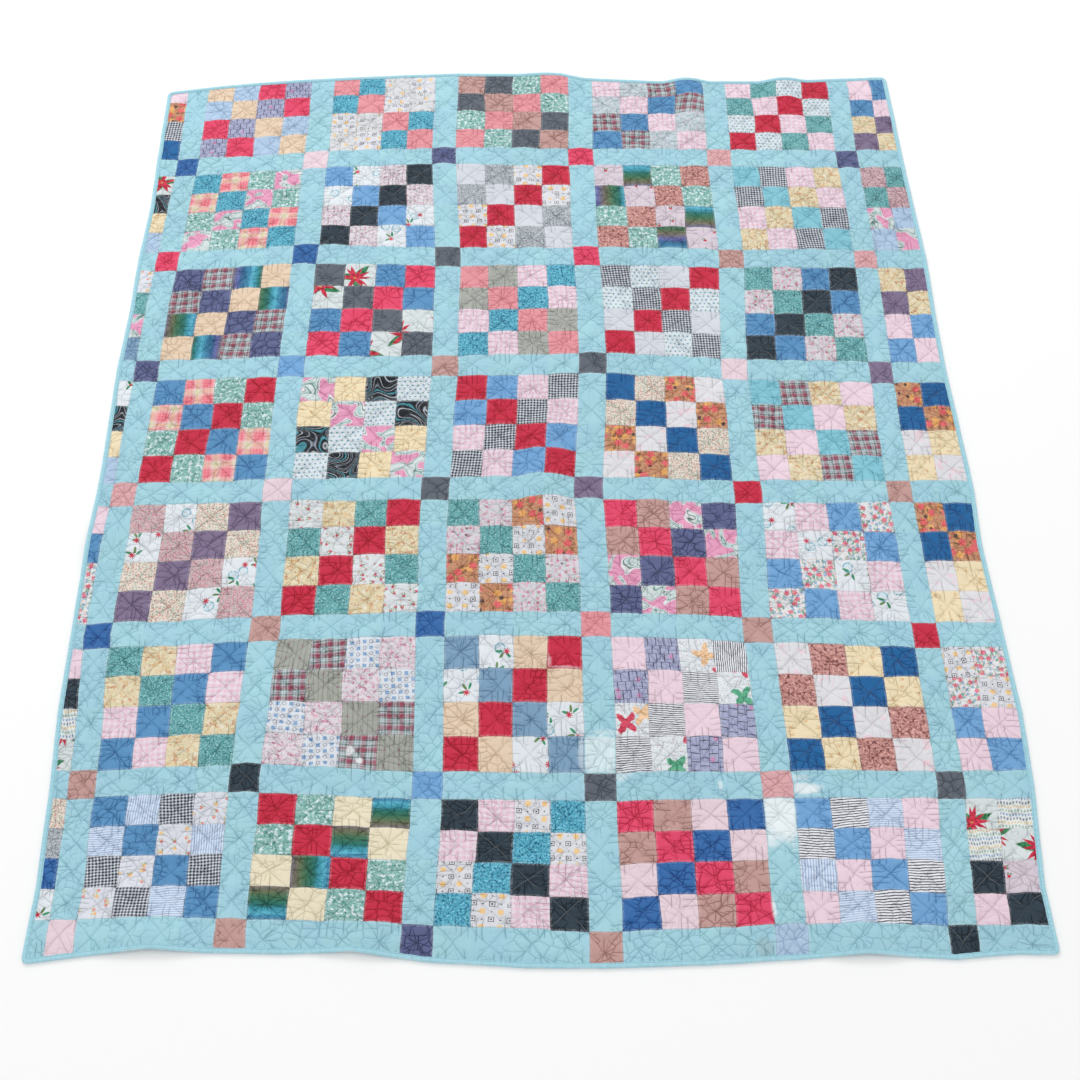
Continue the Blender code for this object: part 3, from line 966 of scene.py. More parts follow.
# The colours of the plain cloths.
PLAIN = {
    "cream_tan": (227, 204, 179),
    "cream_yellow": (234, 224, 197),
    "periwinkle": (175, 199, 225),
    "rose_red": (226, 73, 108),
    "red": (200, 46, 73),
    "coral": (226, 149, 157),
    "salmon": (220, 169, 173),
    "mauve": (194, 154, 149),
    "charcoal": (96, 103, 114),
    "black": (47, 62, 74),
    "blue": (90, 144, 190),
    "mid_blue": (116, 166, 213),
    "royal_blue": (56, 108, 170),
    "navy": (33, 100, 157),
    "navy_purple": (95, 102, 142),
    "purple": (128, 113, 142),
    "pink": (234, 210, 222),
    "pale_pink": (230, 208, 217),
    "white": (210, 214, 223),
    "turquoise": (132, 195, 211),
    "slate_blue": (126, 160, 189),
}

# Mottled cloths: the blotches' size and how much they cover, the ground's colour, and theirs.
MOTTLED = {
    "pinkish_white": (0.024, 0.35, (219, 219, 223), (229, 206, 214), (222, 222, 226)),
    "teal_print": (0.0042, 0.5, (87, 171, 196), (134, 202, 218), (46, 108, 140)),
    "green_leaf": (
        0.0075, 0.50, (130, 178, 171), (164, 203, 200), (96, 154, 142), (148, 190, 184), (214, 230, 234)
    ),
    "grey_floral": (0.0085, 0.30, (188, 200, 208), (146, 180, 172), (206, 213, 220), (190, 180, 192)),
    "green_mottle": (0.0034, 0.45, (90, 158, 163), (130, 184, 185), (62, 126, 133), (156, 200, 198)),
    "yellow_floral": (
        0.0105, 0.30, (219, 207, 174), (228, 222, 203), (219, 188, 143), (226, 215, 182), (207, 166, 133)
    ),
    "rust_print": (0.0055, 0.5, (196, 142, 136), (222, 174, 166), (136, 88, 90)),
    "khaki": (0.0045, 0.5, (162, 165, 159), (178, 180, 174)),
    "pink_blotch": (0.0085, 0.30, (220, 214, 220), (222, 180, 196), (200, 142, 164), (198, 192, 198)),
    "dusty_rose": (0.0050, 0.5, (194, 162, 168), (214, 192, 195), (158, 120, 132)),
}

# Cloths with scattered flowers: the ground, then the layers of flowers, as sprigs takes them.
SPRIGS = {
    "yellow_sprig": ((234, 217, 182), ((222, 180, 136), (210, 194, 152), 0.021, 0.0028, 0.6)),
    "orange_floral": (
        (190, 144, 112),
        ((226, 170, 104), None, 0.024, 0.0084, 0.7),
        ((92, 72, 72), None, 0.034, 0.0050, 0.7),
        ((220, 104, 106), (156, 112, 84), 0.027, 0.0088, 0.8),
    ),
    "pink_sprig": (
        (217, 210, 217),
        ((204, 142, 166), (168, 184, 172), 0.0095, 0.0022, 0.8),
        ((190, 152, 178), None, 0.0072, 0.0015, 0.7),
    ),
    "pink_floral": (
        (208, 206, 212),
        ((218, 172, 190), None, 0.0080, 0.0028, 0.7),
        ((208, 128, 152), (158, 184, 170), 0.0150, 0.0030, 0.6),
        ((128, 116, 124), None, 0.0300, 0.0030, 0.3),
    ),
    "rosebuds": (
        (215, 220, 223),
        ((206, 96, 118), (142, 160, 124), 0.0190, 0.0034, 0.75),
        ((212, 158, 164), (158, 168, 138), 0.0150, 0.0020, 0.6),
        ((208, 188, 146), None, 0.0120, 0.0013, 0.5),
    ),
    "multi_floral": (
        (223, 225, 228),
        ((144, 176, 208), (150, 184, 172), 0.0110, 0.0030, 0.80),
        ((222, 124, 142), (142, 178, 160), 0.0170, 0.0056, 0.85),
        ((232, 186, 170), None, 0.0110, 0.0020, 0.5),
    ),
    "orange_flowers": (
        (217, 220, 229),
        ((240, 196, 140), (200, 200, 168), 0.0230, 0.0040, 0.6),
        ((228, 146, 140), (194, 198, 164), 0.0230, 0.0034, 0.6),
    ),
    "pink_cherry": ((209, 197, 208), ((202, 48, 72), (96, 150, 104), 0.0300, 0.0036, 0.45)),
}

# The blotches on the grounds of two of them.
BLOTTED_GROUNDS = {
    "orange_floral": ((216, 150, 112), (186, 112, 96)),
    "multi_floral": ((202, 218, 212), (226, 204, 208)),
}

# The stripes of the plaids as positions and colours, the ombre's colours in even steps, and the
# levels and colours of the two paisleys.
RED_PLAID = (
    (0.00, (162, 74, 98)),
    (0.09, (160, 78, 102)),
    (0.12, (70, 58, 70)),
    (0.16, (166, 84, 104)),
    (0.24, (162, 82, 100)),
    (0.28, (78, 92, 92)),
    (0.36, (108, 130, 126)),
    (0.40, (192, 204, 210)),
    (0.48, (198, 210, 216)),
    (0.51, (96, 108, 112)),
    (0.55, (194, 206, 212)),
    (0.66, (186, 198, 202)),
    (0.71, (106, 128, 124)),
    (0.80, (88, 104, 104)),
    (0.85, (190, 200, 200)),
    (0.93, (168, 132, 144)),
    (1.00, (162, 74, 98)),
)
ORANGE_PLAID = (
    (0.00, (226, 206, 196)),
    (0.10, (231, 168, 168)),
    (0.20, (228, 112, 126)),
    (0.26, (234, 154, 162)),
    (0.34, (226, 98, 118)),
    (0.42, (234, 152, 160)),
    (0.50, (226, 102, 120)),
    (0.60, (232, 162, 168)),
    (0.70, (229, 212, 210)),
    (0.79, (206, 206, 160)),
    (0.90, (222, 210, 182)),
    (1.00, (226, 206, 196)),
)
OMBRE = (
    (118, 110, 98),
    (104, 116, 86),
    (74, 116, 86),
    (52, 112, 90),
    (44, 116, 108),
    (66, 152, 170),
    (94, 178, 202),
    (66, 138, 172),
    (56, 118, 154),
    (60, 102, 144),
    (104, 108, 166),
    (114, 110, 132),
    (118, 110, 98),
)
PAISLEY_CONTOURS = (
    (0.500, (224, 226, 228)),
    (0.538, (112, 130, 124)),
    (0.558, (214, 222, 222)),
    (0.585, (176, 204, 204)),
    (0.620, (116, 140, 136)),
    (0.642, (206, 218, 218)),
)
MARBLED_FLOWS = (
    (0.10, 0.15, (192, 198, 206)),
    (0.30, 0.42, (74, 144, 158)),
    (0.58, 0.62, (164, 172, 186)),
    (0.78, 0.81, (196, 200, 208)),
)
DASHES = ((136, 166, 198), (150, 184, 168), (222, 200, 152), (124, 134, 150))

# Each fabric: the function that prints it with what it is given.
calico = partial(dotted, radius=0.0013, randomness=0.9)
FABRICS = {
    "aqua": partial(drifted, colour=(162, 206, 221), other=(163, 208, 218)),
    "brickwork": partial(brick_print, ground=(162, 167, 198), mark=(82, 76, 92), blotch=(214, 130, 176)),
    "squares": partial(squares_print, ground=(215, 217, 223), ink=(62, 62, 68), warm=(238, 196, 128)),
    "pale_squares": partial(
        squares_print, ground=(211, 212, 215), ink=(76, 76, 84), warm=(232, 204, 158), amount=0.30
    ),
    "pink_gingham": partial(
        gingham, ground=(228, 216, 226), dark=(226, 191, 206), check=0.0056, soft=0.30
    ),
    "black_gingham": partial(
        gingham, ground=(216, 222, 232), dark=(36, 42, 56), check=0.0031, share=0.56
    ),
    "grey_print": partial(scrolls, ground=(184, 190, 196), line=(98, 108, 117), size=0.0065, fine=0.09),
    "red_plaid": partial(plaid, stops=RED_PLAID, period=0.0215, share=0.52),
    "orange_plaid": partial(plaid, stops=ORANGE_PLAID, period=0.0400),
    "blue_dots": partial(
        dot_rows,
        ground=(211, 220, 226),
        marks=((104, 158, 182), (116, 164, 160)),
        pitch=0.0098,
        radius=0.0020,
    ),
    "pink_paisley": partial(paisley, ground=(225, 157, 188), contours=PAISLEY_CONTOURS, size=0.050),
    "black_paisley": partial(marbled, ground=(30, 37, 44), flows=MARBLED_FLOWS, size=0.078),
    "festive": partial(festive_print, ground=WHITE),
    "holly": partial(holly_print, ground=WHITE),
    "poinsettia": partial(
        large_flower,
        ground=(210, 218, 219),
        petal=(214, 58, 84),
        deep_petal=(170, 34, 58),
        leaf=(62, 142, 96),
        heart=(240, 210, 110),
    ),
    "ombre": partial(ombre, colours=OMBRE),
    "khaki_stripe": partial(
        flecked_stripes,
        ground=(162, 165, 158),
        line=(140, 138, 128),
        fleck=(150, 106, 136),
        period=0.0085,
    ),
    "pink_calico": partial(
        calico, ground=(206, 177, 181), marks=((192, 112, 130), (152, 162, 160)), apart=0.0042
    ),
    "cream_calico": partial(
        calico, ground=(222, 213, 201), marks=((208, 132, 122), (134, 164, 152)), apart=0.0046
    ),
    "blue_squares": partial(
        squares_and_rings, ground=(218, 223, 230), square=(72, 140, 196), round_mark=(148, 146, 160)
    ),
    "big_motif": partial(
        big_motif, ground=WHITE, marks=((98, 176, 142), (216, 80, 104), (240, 202, 164))
    ),
    "grey_stripe": partial(
        striped, ground=(232, 234, 239), line=(90, 92, 102), period=0.0040, share=0.42, shaky=0.0022
    ),
    "black_stripe": partial(
        striped, ground=(234, 236, 242), line=(70, 68, 80), period=0.0052, share=0.38, shaky=0.0024
    ),
    "light_stripe": partial(
        striped, ground=(214, 224, 238), line=(162, 186, 220), period=0.0047, share=0.45
    ),
    "dotted_stripe": partial(dotted_rows, ground=(224, 228, 228), marks=DASHES, period=0.0330),
}
for fabric, colour in PLAIN.items():
    FABRICS[fabric] = partial(plain, colour=colour)
for fabric, (size, amount, ground, *marks) in MOTTLED.items():
    FABRICS[fabric] = partial(mottled, ground=ground, marks=marks, size=size, amount=amount)
for fabric, (ground, *layers) in SPRIGS.items():
    blots = BLOTTED_GROUNDS.get(fabric, ())
    FABRICS[fabric] = partial(sprigs, ground=ground, layers=layers, blots=blots)

# How each cloth has worn and is shaded: how much light thread shows in its stitching, how dark the
# painted shade in its creases and stitches is, and how crackled it has become. The usual values are for
# those that aren't named.
USUAL_WORN_AND_SHADED = (0.0, 0.40, 0.8)
WORN_AND_SHADED = {
    "aqua": (0.0, 0.33, 0.7),
    "turquoise": (0.0, 0.36, 0.8),
    "pinkish_white": (0.0, 0.32, 0.3),
    "white": (0.0, 0.34, 0.4),
    "pink": (0.0, 0.40, 0.3),
    "pale_pink": (0.0, 0.40, 0.4),
    "red": (0.0, 0.40, 1.1),
    "rose_red": (0.0, 0.40, 1.3),
    "mauve": (0.0, 0.40, 1.1),
    "blue": (0.0, 0.40, 1.0),
    "royal_blue": (0.0, 0.40, 1.0),
    "navy": (0.10, 0.40, 0.8),
    "navy_purple": (0.04, 0.46, 1.3),
    "charcoal": (0.12, 0.40, 1.1),
    "black": (0.24, 0.50, 1.2),
    "black_paisley": (0.15, 0.40, 0.8),
}
CLOTH_SHINE = {
    "Roughness": 0.92,
    "Specular IOR Level": 0.25,
    "Sheen Weight": 0.12,
    "Sheen Roughness": 0.5,
}


def new_material(name, shine):
    """A new material, its wires, and its shader's inputs with these values on them."""
    material = bpy.data.materials.new(name)
    material.use_nodes = True
    given = material.node_tree.nodes["Principled BSDF"].inputs
    for socket, value in shine.items():
        given[socket].default_value = value
    return material, Wires(material.node_tree), given


def make_fabric(name):
    """One fabric's material: its print under the finish and painted shade that all patches share."""
    material, w, given = new_material(name, CLOTH_SHINE)
    groups = bpy.data.node_groups
    place = w.node("ShaderNodeGroup", node_tree=groups["cloth_place"]).outputs["Place"]
    finish_and_shade = w.node("ShaderNodeGroup", node_tree=groups["cloth_finish_and_shade"])
    thread, lines, crackle = WORN_AND_SHADED.get(name, USUAL_WORN_AND_SHADED)
    printed = FABRICS[name](w, place)
    worn_and_shaded_in = {"Print": printed, "Place": place, "Lines": lines, "Thread": thread, "Crackle": crackle}
    for socket, value in worn_and_shaded_in.items():
        w.feed(finish_and_shade.inputs[socket], value)
    w.feed(given["Base Color"], finish_and_shade.outputs["Colour"])
    w.feed(given["Normal"], finish_and_shade.outputs["Normal"])
    return material


# ---------------------------------------------------------------- the lie of the sheet


def seam_lines(first, count):
    """The cell lines on both sides of each sash, in order."""
    return np.array([first + SASH_PERIOD * n + side for n in range(count) for side in (0, 1)])


def middle_lines(first, count):
    return np.array([first + 0.5 + SASH_PERIOD * n for n in range(count)])


def seam_places(at, crossings, middles, half):
    """Where the two sides of each sash lie at one of the crossings' lines, or between two."""
    here = np.array([np.interp(at, crossings, sash) for sash in middles])
    return np.stack([here - half, here + half], axis=1).ravel()


def x_of(u, v):
    """Where column lines u lie on row line v, in metres."""
    crossings = middle_lines(FIRST_CROSSBAR, CROSSBARS)
    half = np.array(UPRIGHT_WIDTH_MM) / 2 * MM
    places = seam_places(v, crossings, (np.array(UPRIGHT_X_MM) * MM).T, half)
    strip = places[-1] + np.interp(v, (0, LAST_ROW), RIGHT_PATCH_TOP_BOTTOM_MM) * MM
    lines = seam_lines(FIRST_UPRIGHT, UPRIGHTS)
    lines = np.concatenate([[lines[0] - 1], lines, [lines[-1] + 1, lines[-1] + 2]])
    places = np.concatenate([[places[0] - PATCH], places, [strip, strip + PATCH]])
    return np.interp(u, lines, places)


def y_of(u, v):
    """Where row lines v lie on column line u, in metres."""
    crossings = middle_lines(FIRST_UPRIGHT, UPRIGHTS)
    places = seam_places(u, crossings, np.array(CROSSBAR_Y_MM) * MM, -SASH / 2)
    patch = np.interp(u, (0, LAST_COLUMN), TOP_PATCH_LEFT_RIGHT_MM) * MM
    lines = np.concatenate([[0], seam_lines(FIRST_CROSSBAR, CROSSBARS)])
    places = np.concatenate([[places[0] + BLOCK_CELLS * patch], places])
    return np.interp(v, lines, places)


def outline(at, lines_mm, places_mm, inset):
    """The rim line inside one edge of the outline, at these heights or widths."""
    return np.interp(at, np.array(lines_mm) * MM, np.array(places_mm) * MM) + inset


def lift(x, y):
    """How far the wrinkles lift the sheet off the surface: nothing at all away from them."""
    height = np.zeros_like(x)
    for middle_x, middle_y, degrees, half_length, half_width, top in WRINKLES:
        angle = math.radians(degrees)
        along = (x - middle_x) * math.cos(angle) + (y - middle_y) * math.sin(angle)
        across = (y - middle_y) * math.cos(angle) - (x - middle_x) * math.sin(angle)
        inside = np.maximum(0.0, 1.0 - (along / half_length) ** 2 - (across / half_width) ** 2)
        height = np.maximum(height, top * inside**2)
    return height


def puffs(u, v):
    """Height of the padding between the stitched diagonals."""
    between_lines = np.abs(np.sin(np.pi * (u + v)) * np.sin(np.pi * (u - v))) ** PUFF_ROUNDNESS
    first, second = [a * u + b * v for a, b in UNEVEN_WAVES]
    return PUFF * between_lines * (1.0 + PUFF_UNEVENNESS * np.sin(first) * np.cos(second))


def clipped(values):
    return np.clip(values, 0.0, 1.0)


def smooth(share):
    """The same share, with an easy start and end."""
    return share * share * (3 - 2 * share)


def soft_noise(u, v, size):
    """Smooth noise from -1 to 1 over the cells, with features of this many cells."""
    count = int(NOISE_CELLS / size) + 3
    knots = RANDOM.uniform(-1.0, 1.0, (count, count))
    across = (u + 1.0) / size
    down = (v + 1.0) / size
    i, k = np.floor(across).astype(int), np.floor(down).astype(int)
    s, t = smooth(across - i), smooth(down - k)
    near = knots[i, k] * (1 - s) + knots[i + 1, k] * s
    far = knots[i, k + 1] * (1 - s) + knots[i + 1, k + 1] * s
    return near * (1 - t) + far * t


def rolling(sheet, *waves):
    """Soft noises over the sheet, added up: pairs of a height and a size in cells."""
    return sum(height * soft_noise(sheet.u, sheet.v, size) for height, size in waves)


def is_upright(cell):
    return (cell - FIRST_UPRIGHT) % SASH_PERIOD == 0


def is_crossbar(cell):
    return (cell - FIRST_CROSSBAR) % SASH_PERIOD == 0


def mismatched(across, along):
    """The sideways shift of the seams that cross one axis, which jumps at the seams along it."""
    shifts = RANDOM.uniform(-1.0, 1.0, (NOISE_CELLS, NOISE_CELLS))
    cells = np.arange(NOISE_CELLS)
    shifts[is_upright(cells) | is_upright(cells - 1)] *= UPRIGHT_MISMATCH_SHARE
    line = np.clip(np.floor(across).astype(int), 0, NOISE_CELLS - 3)
    row = np.clip(np.floor(along).astype(int), 1, NOISE_CELLS - 3)
    share = across - line
    fraction = along - row
    before = 0.5 * clipped(1.0 - fraction / MISMATCH_BLEND)
    after = 0.5 * clipped(1.0 - (1.0 - fraction) / MISMATCH_BLEND)

    def shift_of(lines):
        here = shifts[lines, row] * (1.0 - before - after)
        return here + shifts[lines, row - 1] * before + shifts[lines, row + 1] * after

    return SEAM_MISMATCH * (shift_of(line) * (1.0 - share) + shift_of(line + 1) * share)


def fine_lines(first_margin, last_cell, is_sash, last_margin):
    """Grid lines along one axis, each a cell line and two margin shares.

    The first share is below 1 where the line lies in the cut cells before the first whole seam,
    and the second is above 0 where it lies in those past the last one.
    """
    lines = [(1, s / first_margin, 0.0) for s in range(first_margin)]
    for cell in range(1, last_cell):
        steps = SASH_STEPS if is_sash(cell) else PATCH_STEPS
        lines += [(cell + s / steps, 1.0, 0.0) for s in range(steps)]
    lines += [(last_cell, 1.0, s / last_margin) for s in range(last_margin + 1)]
    return np.array(lines)


COLUMNS = fine_lines(SIDE_STEPS, LAST_COLUMN, is_upright, SIDE_STEPS)
ROWS = fine_lines(TOP_STEPS, LAST_ROW, is_crossbar, BOTTOM_STEPS)


def stretched(seam, start, end, low, high):
    """Coordinates with the margin lines spread between the rims and the outer seams."""
    return low + (seam - low) * start + (high - seam) * end


class Sheet:
    """The grid points of the quilt's top: their places x and y, and cell coordinates u and v."""

    def __init__(self):
        columns, rows = COLUMNS[:, 0], ROWS[:, 0]
        seam_x = np.stack([x_of(columns, v) for v in rows], axis=1)
        seam_y = np.stack([y_of(u, rows) for u in columns], axis=0)
        x = seam_x
        row_shares, column_shares = ROWS[:, 1:].T, COLUMNS[:, 1:].T[:, :, None]
        for _ in range(3):
            top = outline(x, END_X_MM, TOP_Y_MM, -RIM_INSET)
            bottom = outline(x, END_X_MM, BOTTOM_Y_MM, RIM_INSET)
            y = stretched(seam_y, *row_shares, top, bottom)
            left = outline(y, SIDE_Y_MM, LEFT_X_MM, RIM_INSET)
            right = outline(y, SIDE_Y_MM, RIGHT_X_MM, -RIM_INSET)
            x = stretched(seam_x, *column_shares, left, right)
        self.u = columns[:, None] + (x - seam_x) / PATCH
        self.v = rows - (y - seam_y) / PATCH
        self.centre(x, y)
        self.round_corners()

    def centre(self, x, y):
        """Put the outline's middle where the frame has it."""
        boxes = np.array([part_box("binding_" + side) for side in ("left", "right", "top", "bottom")])
        low, high = boxes[:, 0].min(axis=0), boxes[:, 1].max(axis=0)
        self.x = x + (low[0] + high[0]) / 2 - (x.min() + x.max()) / 2
        self.y = y + (low[1] + high[1]) / 2 - (y.min() + y.max()) / 2

    def round_corners(self):
        """Pull the grid's corners in to arcs."""
        for i_end, x_sign in ((0, 1), (-1, -1)):
            for k_end, y_sign in ((0, -1), (-1, 1)):
                inner_x = self.x[i_end, k_end] + x_sign * CORNER_RADIUS
                inner_y = self.y[i_end, k_end] + y_sign * CORNER_RADIUS
                out_x = np.maximum(0.0, (inner_x - self.x) * x_sign)
                out_y = np.maximum(0.0, (inner_y - self.y) * y_sign)
                reach = np.hypot(out_x, out_y)
                share = np.where(reach > 0, np.maximum(out_x, out_y) / np.maximum(reach, 1e-9), 1.0)
                both = (out_x > 0) & (out_y > 0)
                self.x = np.where(both, inner_x - x_sign * out_x * share, self.x)
                self.y = np.where(both, inner_y - y_sign * out_y * share, self.y)

    def shift(self, shift_x, shift_y):
        """Move the seams in the plane by this much, but not at the rim."""
        inside = clipped((self.rim_distance() - BINDING) / RIM_CALM)
        self.x = self.x + inside * shift_x
        self.y = self.y + inside * shift_y

    def rim_path(self):
        """The outline of each side, from the middle of one rounded corner to the next."""
        cuts = {"left": np.s_[0], "right": np.s_[-1], "top": np.s_[:, 0], "bottom": np.s_[:, -1]}
        return {side: np.stack([self.x[cut], self.y[cut]], axis=1) for side, cut in cuts.items()}

    def rim_distance(self):
        """Roughly how far each point lies inside the rim."""
        left = self.x - self.x[0][None, :]
        right = self.x[-1][None, :] - self.x
        top = self.y[:, 0][:, None] - self.y
        bottom = self.y - self.y[:, -1][:, None]
        return np.minimum(np.minimum(left, right), np.minimum(top, bottom))


def seam_distance(sheet):
    """How far each grid point lies from the nearest sewn seam, in metres."""
    u, v = sheet.u, sheet.v
    near_u = np.clip(np.round(u), 1, LAST_COLUMN)
    near_v = np.clip(np.round(v), 1, LAST_ROW)
    row = np.clip(np.floor(v), 0, LAST_ROW)
    column = np.clip(np.floor(u), 0, LAST_COLUMN)
    beside_upright = is_upright(near_u) | is_upright(near_u - 1)
    beside_crossbar = is_crossbar(near_v) | is_crossbar(near_v - 1)
    to_u = np.where(~is_crossbar(row) | beside_upright, np.abs(u - near_u) * PATCH, FAR_OFF)
    to_v = np.where(~is_upright(column) | beside_crossbar, np.abs(v - near_v) * PATCH, FAR_OFF)
    return np.minimum(FAR_OFF, np.minimum(to_u, to_v))


def wobble(sheet, amount, size):
    """Shift the seams a little, as cut and sewn by hand."""
    sheet.shift(rolling(sheet, (amount, size)), rolling(sheet, (amount, size)))


def pinched(sheet):
    """Nothing under the binding, rising to one where the padding is whole."""
    return smooth(clipped((sheet.rim_distance() - UNPADDED) / PADDED_AT))


def bent_cells(sheet):
    """Cell coordinates bent as the washed cloth is, and how creased the cloth is there."""
    bent = [value + rolling(sheet, *CREASE_BENDS) for value in (sheet.u, sheet.v)]
    return np.stack([*bent, 0.5 + rolling(sheet, *CREASE_AMOUNT)], axis=-1)


def crease_breaks(sheet):
    """Three noises from 0 to 1 that break the creases up and bend them."""
    noises = [rolling(sheet, (1.0, size), (0.5, size * 2.3)) for size in CREASE_BREAK_SIZES]
    return 0.5 + 0.45 * np.stack(noises, axis=-1)


def worn(sheet):
    """Shares of bleach and of dirt, and the cloth's slow changes of tone from 0 to 1."""
    u, v = sheet.u, sheet.v
    ragged = rolling(sheet, *SPOT_EDGES)
    shares = {True: np.zeros(u.shape), False: np.zeros(u.shape)}
    for middle_u, middle_v, half_u, half_v, strength, *reached in SPOTS:
        reach = np.hypot((u - middle_u) / half_u, (v - middle_v) / half_v) + ragged
        inside = clipped((SPOT_END - reach) / SPOT_FADE)
        inside = inside * (u > reached[0]) * (u < reached[1]) * (v > reached[2]) * (v < reached[3])
        bleach = strength > 0
        shares[bleach] = np.maximum(shares[bleach], smooth(inside) * abs(strength))
    level = 0.5 + rolling(sheet, *TONE_DRIFT)
    return np.stack([shares[True], shares[False], level], axis=-1)


def heights(sheet, seams):
    """The top surface over the whole quilt."""
    waves = rolling(sheet, *SHEET_WAVES)
    ditch = SEAM_DITCH * clipped(1.0 - seams / SEAM_REACH)
    allowance = SEAM_ALLOWANCE * clipped(1.0 - np.abs(seams - ALLOWANCE_AT) / SEAM_REACH)
    above = puffs(sheet.u, sheet.v) + waves - ditch + allowance
    return lift(sheet.x, sheet.y) + STITCHED_THICKNESS + pinched(sheet) * above


# ---------------------------------------------------------------- meshes


def grid_mesh(name, x, y, z):
    """A mesh of quads over a grid of points, facing up."""
    columns, rows = x.shape
    mesh = bpy.data.meshes.new(name)
    points = np.stack([x, y, z], axis=-1).reshape(-1, 3)
    i, k = np.meshgrid(np.arange(columns - 1), np.arange(rows - 1), indexing="ij")
    first = (i * rows + k).ravel()
    quads = np.stack([first, first + 1, first + rows + 1, first + rows], axis=1)
    mesh.vertices.add(len(points))
    mesh.vertices.foreach_set("co", points.astype(np.float32).ravel())
    mesh.loops.add(quads.size)
    mesh.loops.foreach_set("vertex_index", quads.astype(np.int32).ravel())
    mesh.polygons.add(len(quads))
    mesh.polygons.foreach_set("loop_start", np.arange(0, quads.size, 4, dtype=np.int32))
    mesh.update(calc_edges=True)
    mesh.validate()
    mesh.shade_smooth()
    return mesh


def store(mesh, name, values, domain="POINT", kind="FLOAT_VECTOR", field="vector"):
    made = mesh.attributes.new(name, kind, domain)
    made.data.foreach_set(field, np.ascontiguousarray(values, np.float32).ravel())


def new_object(name, data):
    obj = bpy.data.objects.new(name, data)
    bpy.context.scene.collection.objects.link(obj)
    return obj


def finish_piece(obj, node):
    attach(obj, "root")
    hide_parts(node)


def make_pucker_tree():
    """Geometry nodes that press the creases into a sheet."""
    shape = (("Geometry", "Geometry"),)
    w, start, end = new_group("puckers", shape, shape, "GeometryNodeTree")
    stored = []
    for name, kind in (("bent", "FLOAT_VECTOR"), ("breaks", "FLOAT_VECTOR"), ("pinched", "FLOAT")):
        read = w.node("GeometryNodeInputNamedAttribute", {"Name": name}, data_type=kind)
        stored.append(read.outputs["Attribute"])
    bent, breaks, whole = stored
    families = crease_lines(w, bent, breaks)[1]
    depth = w.add(w.times(creased(w, families, PUCKER_REACH), -PUCKER), PUCKER_RISE)
    offset = w.join(0.0, 0.0, w.times(depth, whole))
    place = w.node("GeometryNodeSetPosition", {"Geometry": start[0], "Offset": offset})
    w.feed(end[0], place.outputs[0])
    return bpy.data.node_groups["puckers"]


def press_creases(obj, tree):
    """Press the creases in, and keep the result as the object's own mesh."""
    modifier = obj.modifiers.new("puckers", "NODES")
    modifier.node_group = tree
    bpy.context.view_layer.update()
    graph = bpy.context.evaluated_depsgraph_get()
    pressed = bpy.data.meshes.new_from_object(obj.evaluated_get(graph))
    obj.modifiers.remove(modifier)
    pressed.name = obj.name
    obj.data = pressed


def ombre_pick(cell, quarter_turns, share):
    """The pick that puts this share of the ombre's run of colours at the middle of a patch."""
    u, v = cell[0] + 0.5, cell[1] + 0.5
    along = (v, u, -v, -u)[quarter_turns] * PATCH
    offset = (share * OMBRE_PERIOD - along) % OMBRE_PERIOD
    return (cell[0] + offset / BOLT) / PICK_SPREAD


def cell_of(lines, last):
    """The cell that each strip of faces between two grid lines lies in."""
    middle = (lines[:-1, 0] + lines[1:, 0]) / 2
    past_last = lines[1:, 2] > 0.0
    inside = np.where(past_last, last, np.floor(middle).astype(int))
    return np.where(lines[:-1, 1] < 1.0, 0, inside)


def patch_facts(layout, names):
    """For each face: its fabric's number, its pick, its quarter turns and a small tilt."""
    cells = (LAST_COLUMN + 1, LAST_ROW + 1)
    picks = RANDOM.uniform(0.0, 1.0, cells)
    tilts = RANDOM.uniform(-1.0, 1.0, cells)
    turned, number = np.zeros(cells), np.zeros(cells, int)
    for cell in TURNED:
        turned[cell] = 1.0
    for cell, pick in CUTS.items():
        picks[cell] = pick
        tilts[cell] = 0.0
    for cell, (quarter_turns, share) in OMBRE_CUTS.items():
        turned[cell] = quarter_turns
        picks[cell] = ombre_pick(cell, quarter_turns, share)
        tilts[cell] = 0.0
    for cell, name in layout.items():
        number[cell] = names.index(name)
    where = np.ix_(cell_of(COLUMNS, LAST_COLUMN), cell_of(ROWS, LAST_ROW))
    return number[where], np.stack([picks[where], turned[where], tilts[where]], axis=-1)


def store_map(mesh, across, down):
    """Keep the map that the piece's textures are baked on."""
    flat = mesh.uv_layers.new(name="OFBake")
    flat.data.foreach_set("uv", np.stack([across, down], axis=1).astype(np.float32).ravel())


def corners_of(mesh, rows):
    """Each face corner's point, and the first grid column that its face touches."""
    corner = np.empty(len(mesh.loops), np.int32)
    mesh.loops.foreach_get("vertex_index", corner)
    return corner, np.repeat((corner // rows).reshape(-1, 4).min(axis=1), 4)


def add_bake_map(mesh, x, y):
    """Lay the sheet's two halves one over the other, a little apart, to fill a square evenly."""
    corner, face_column = corners_of(mesh, x.shape[1])
    halfway = (x.shape[0] - 1) // 2
    half = face_column >= halfway
    px = x.ravel()[corner]
    py = y.ravel()[corner]
    middle = x[halfway].mean()
    width = max(middle - x.min(), x.max() - middle) * 1.02
    height = (y.max() - y.min()) * 1.03
    span = max(width, 2 * height) * 1.005
    across = np.where(half, px - middle, px - x.min()) + 0.01 * width
    down = py - y.min() + 0.012 * height + half * height
    store_map(mesh, across / span, down / span)


def row_line(number):
    """The grid line along the top of this cell row, or the rim line past the last row."""
    if number == 0:
        return 0
    if number > LAST_ROW:
        return len(ROWS) - 1
    return int(np.flatnonzero((ROWS[:, 0] == number) & (ROWS[:, 1] == 1.0))[0])


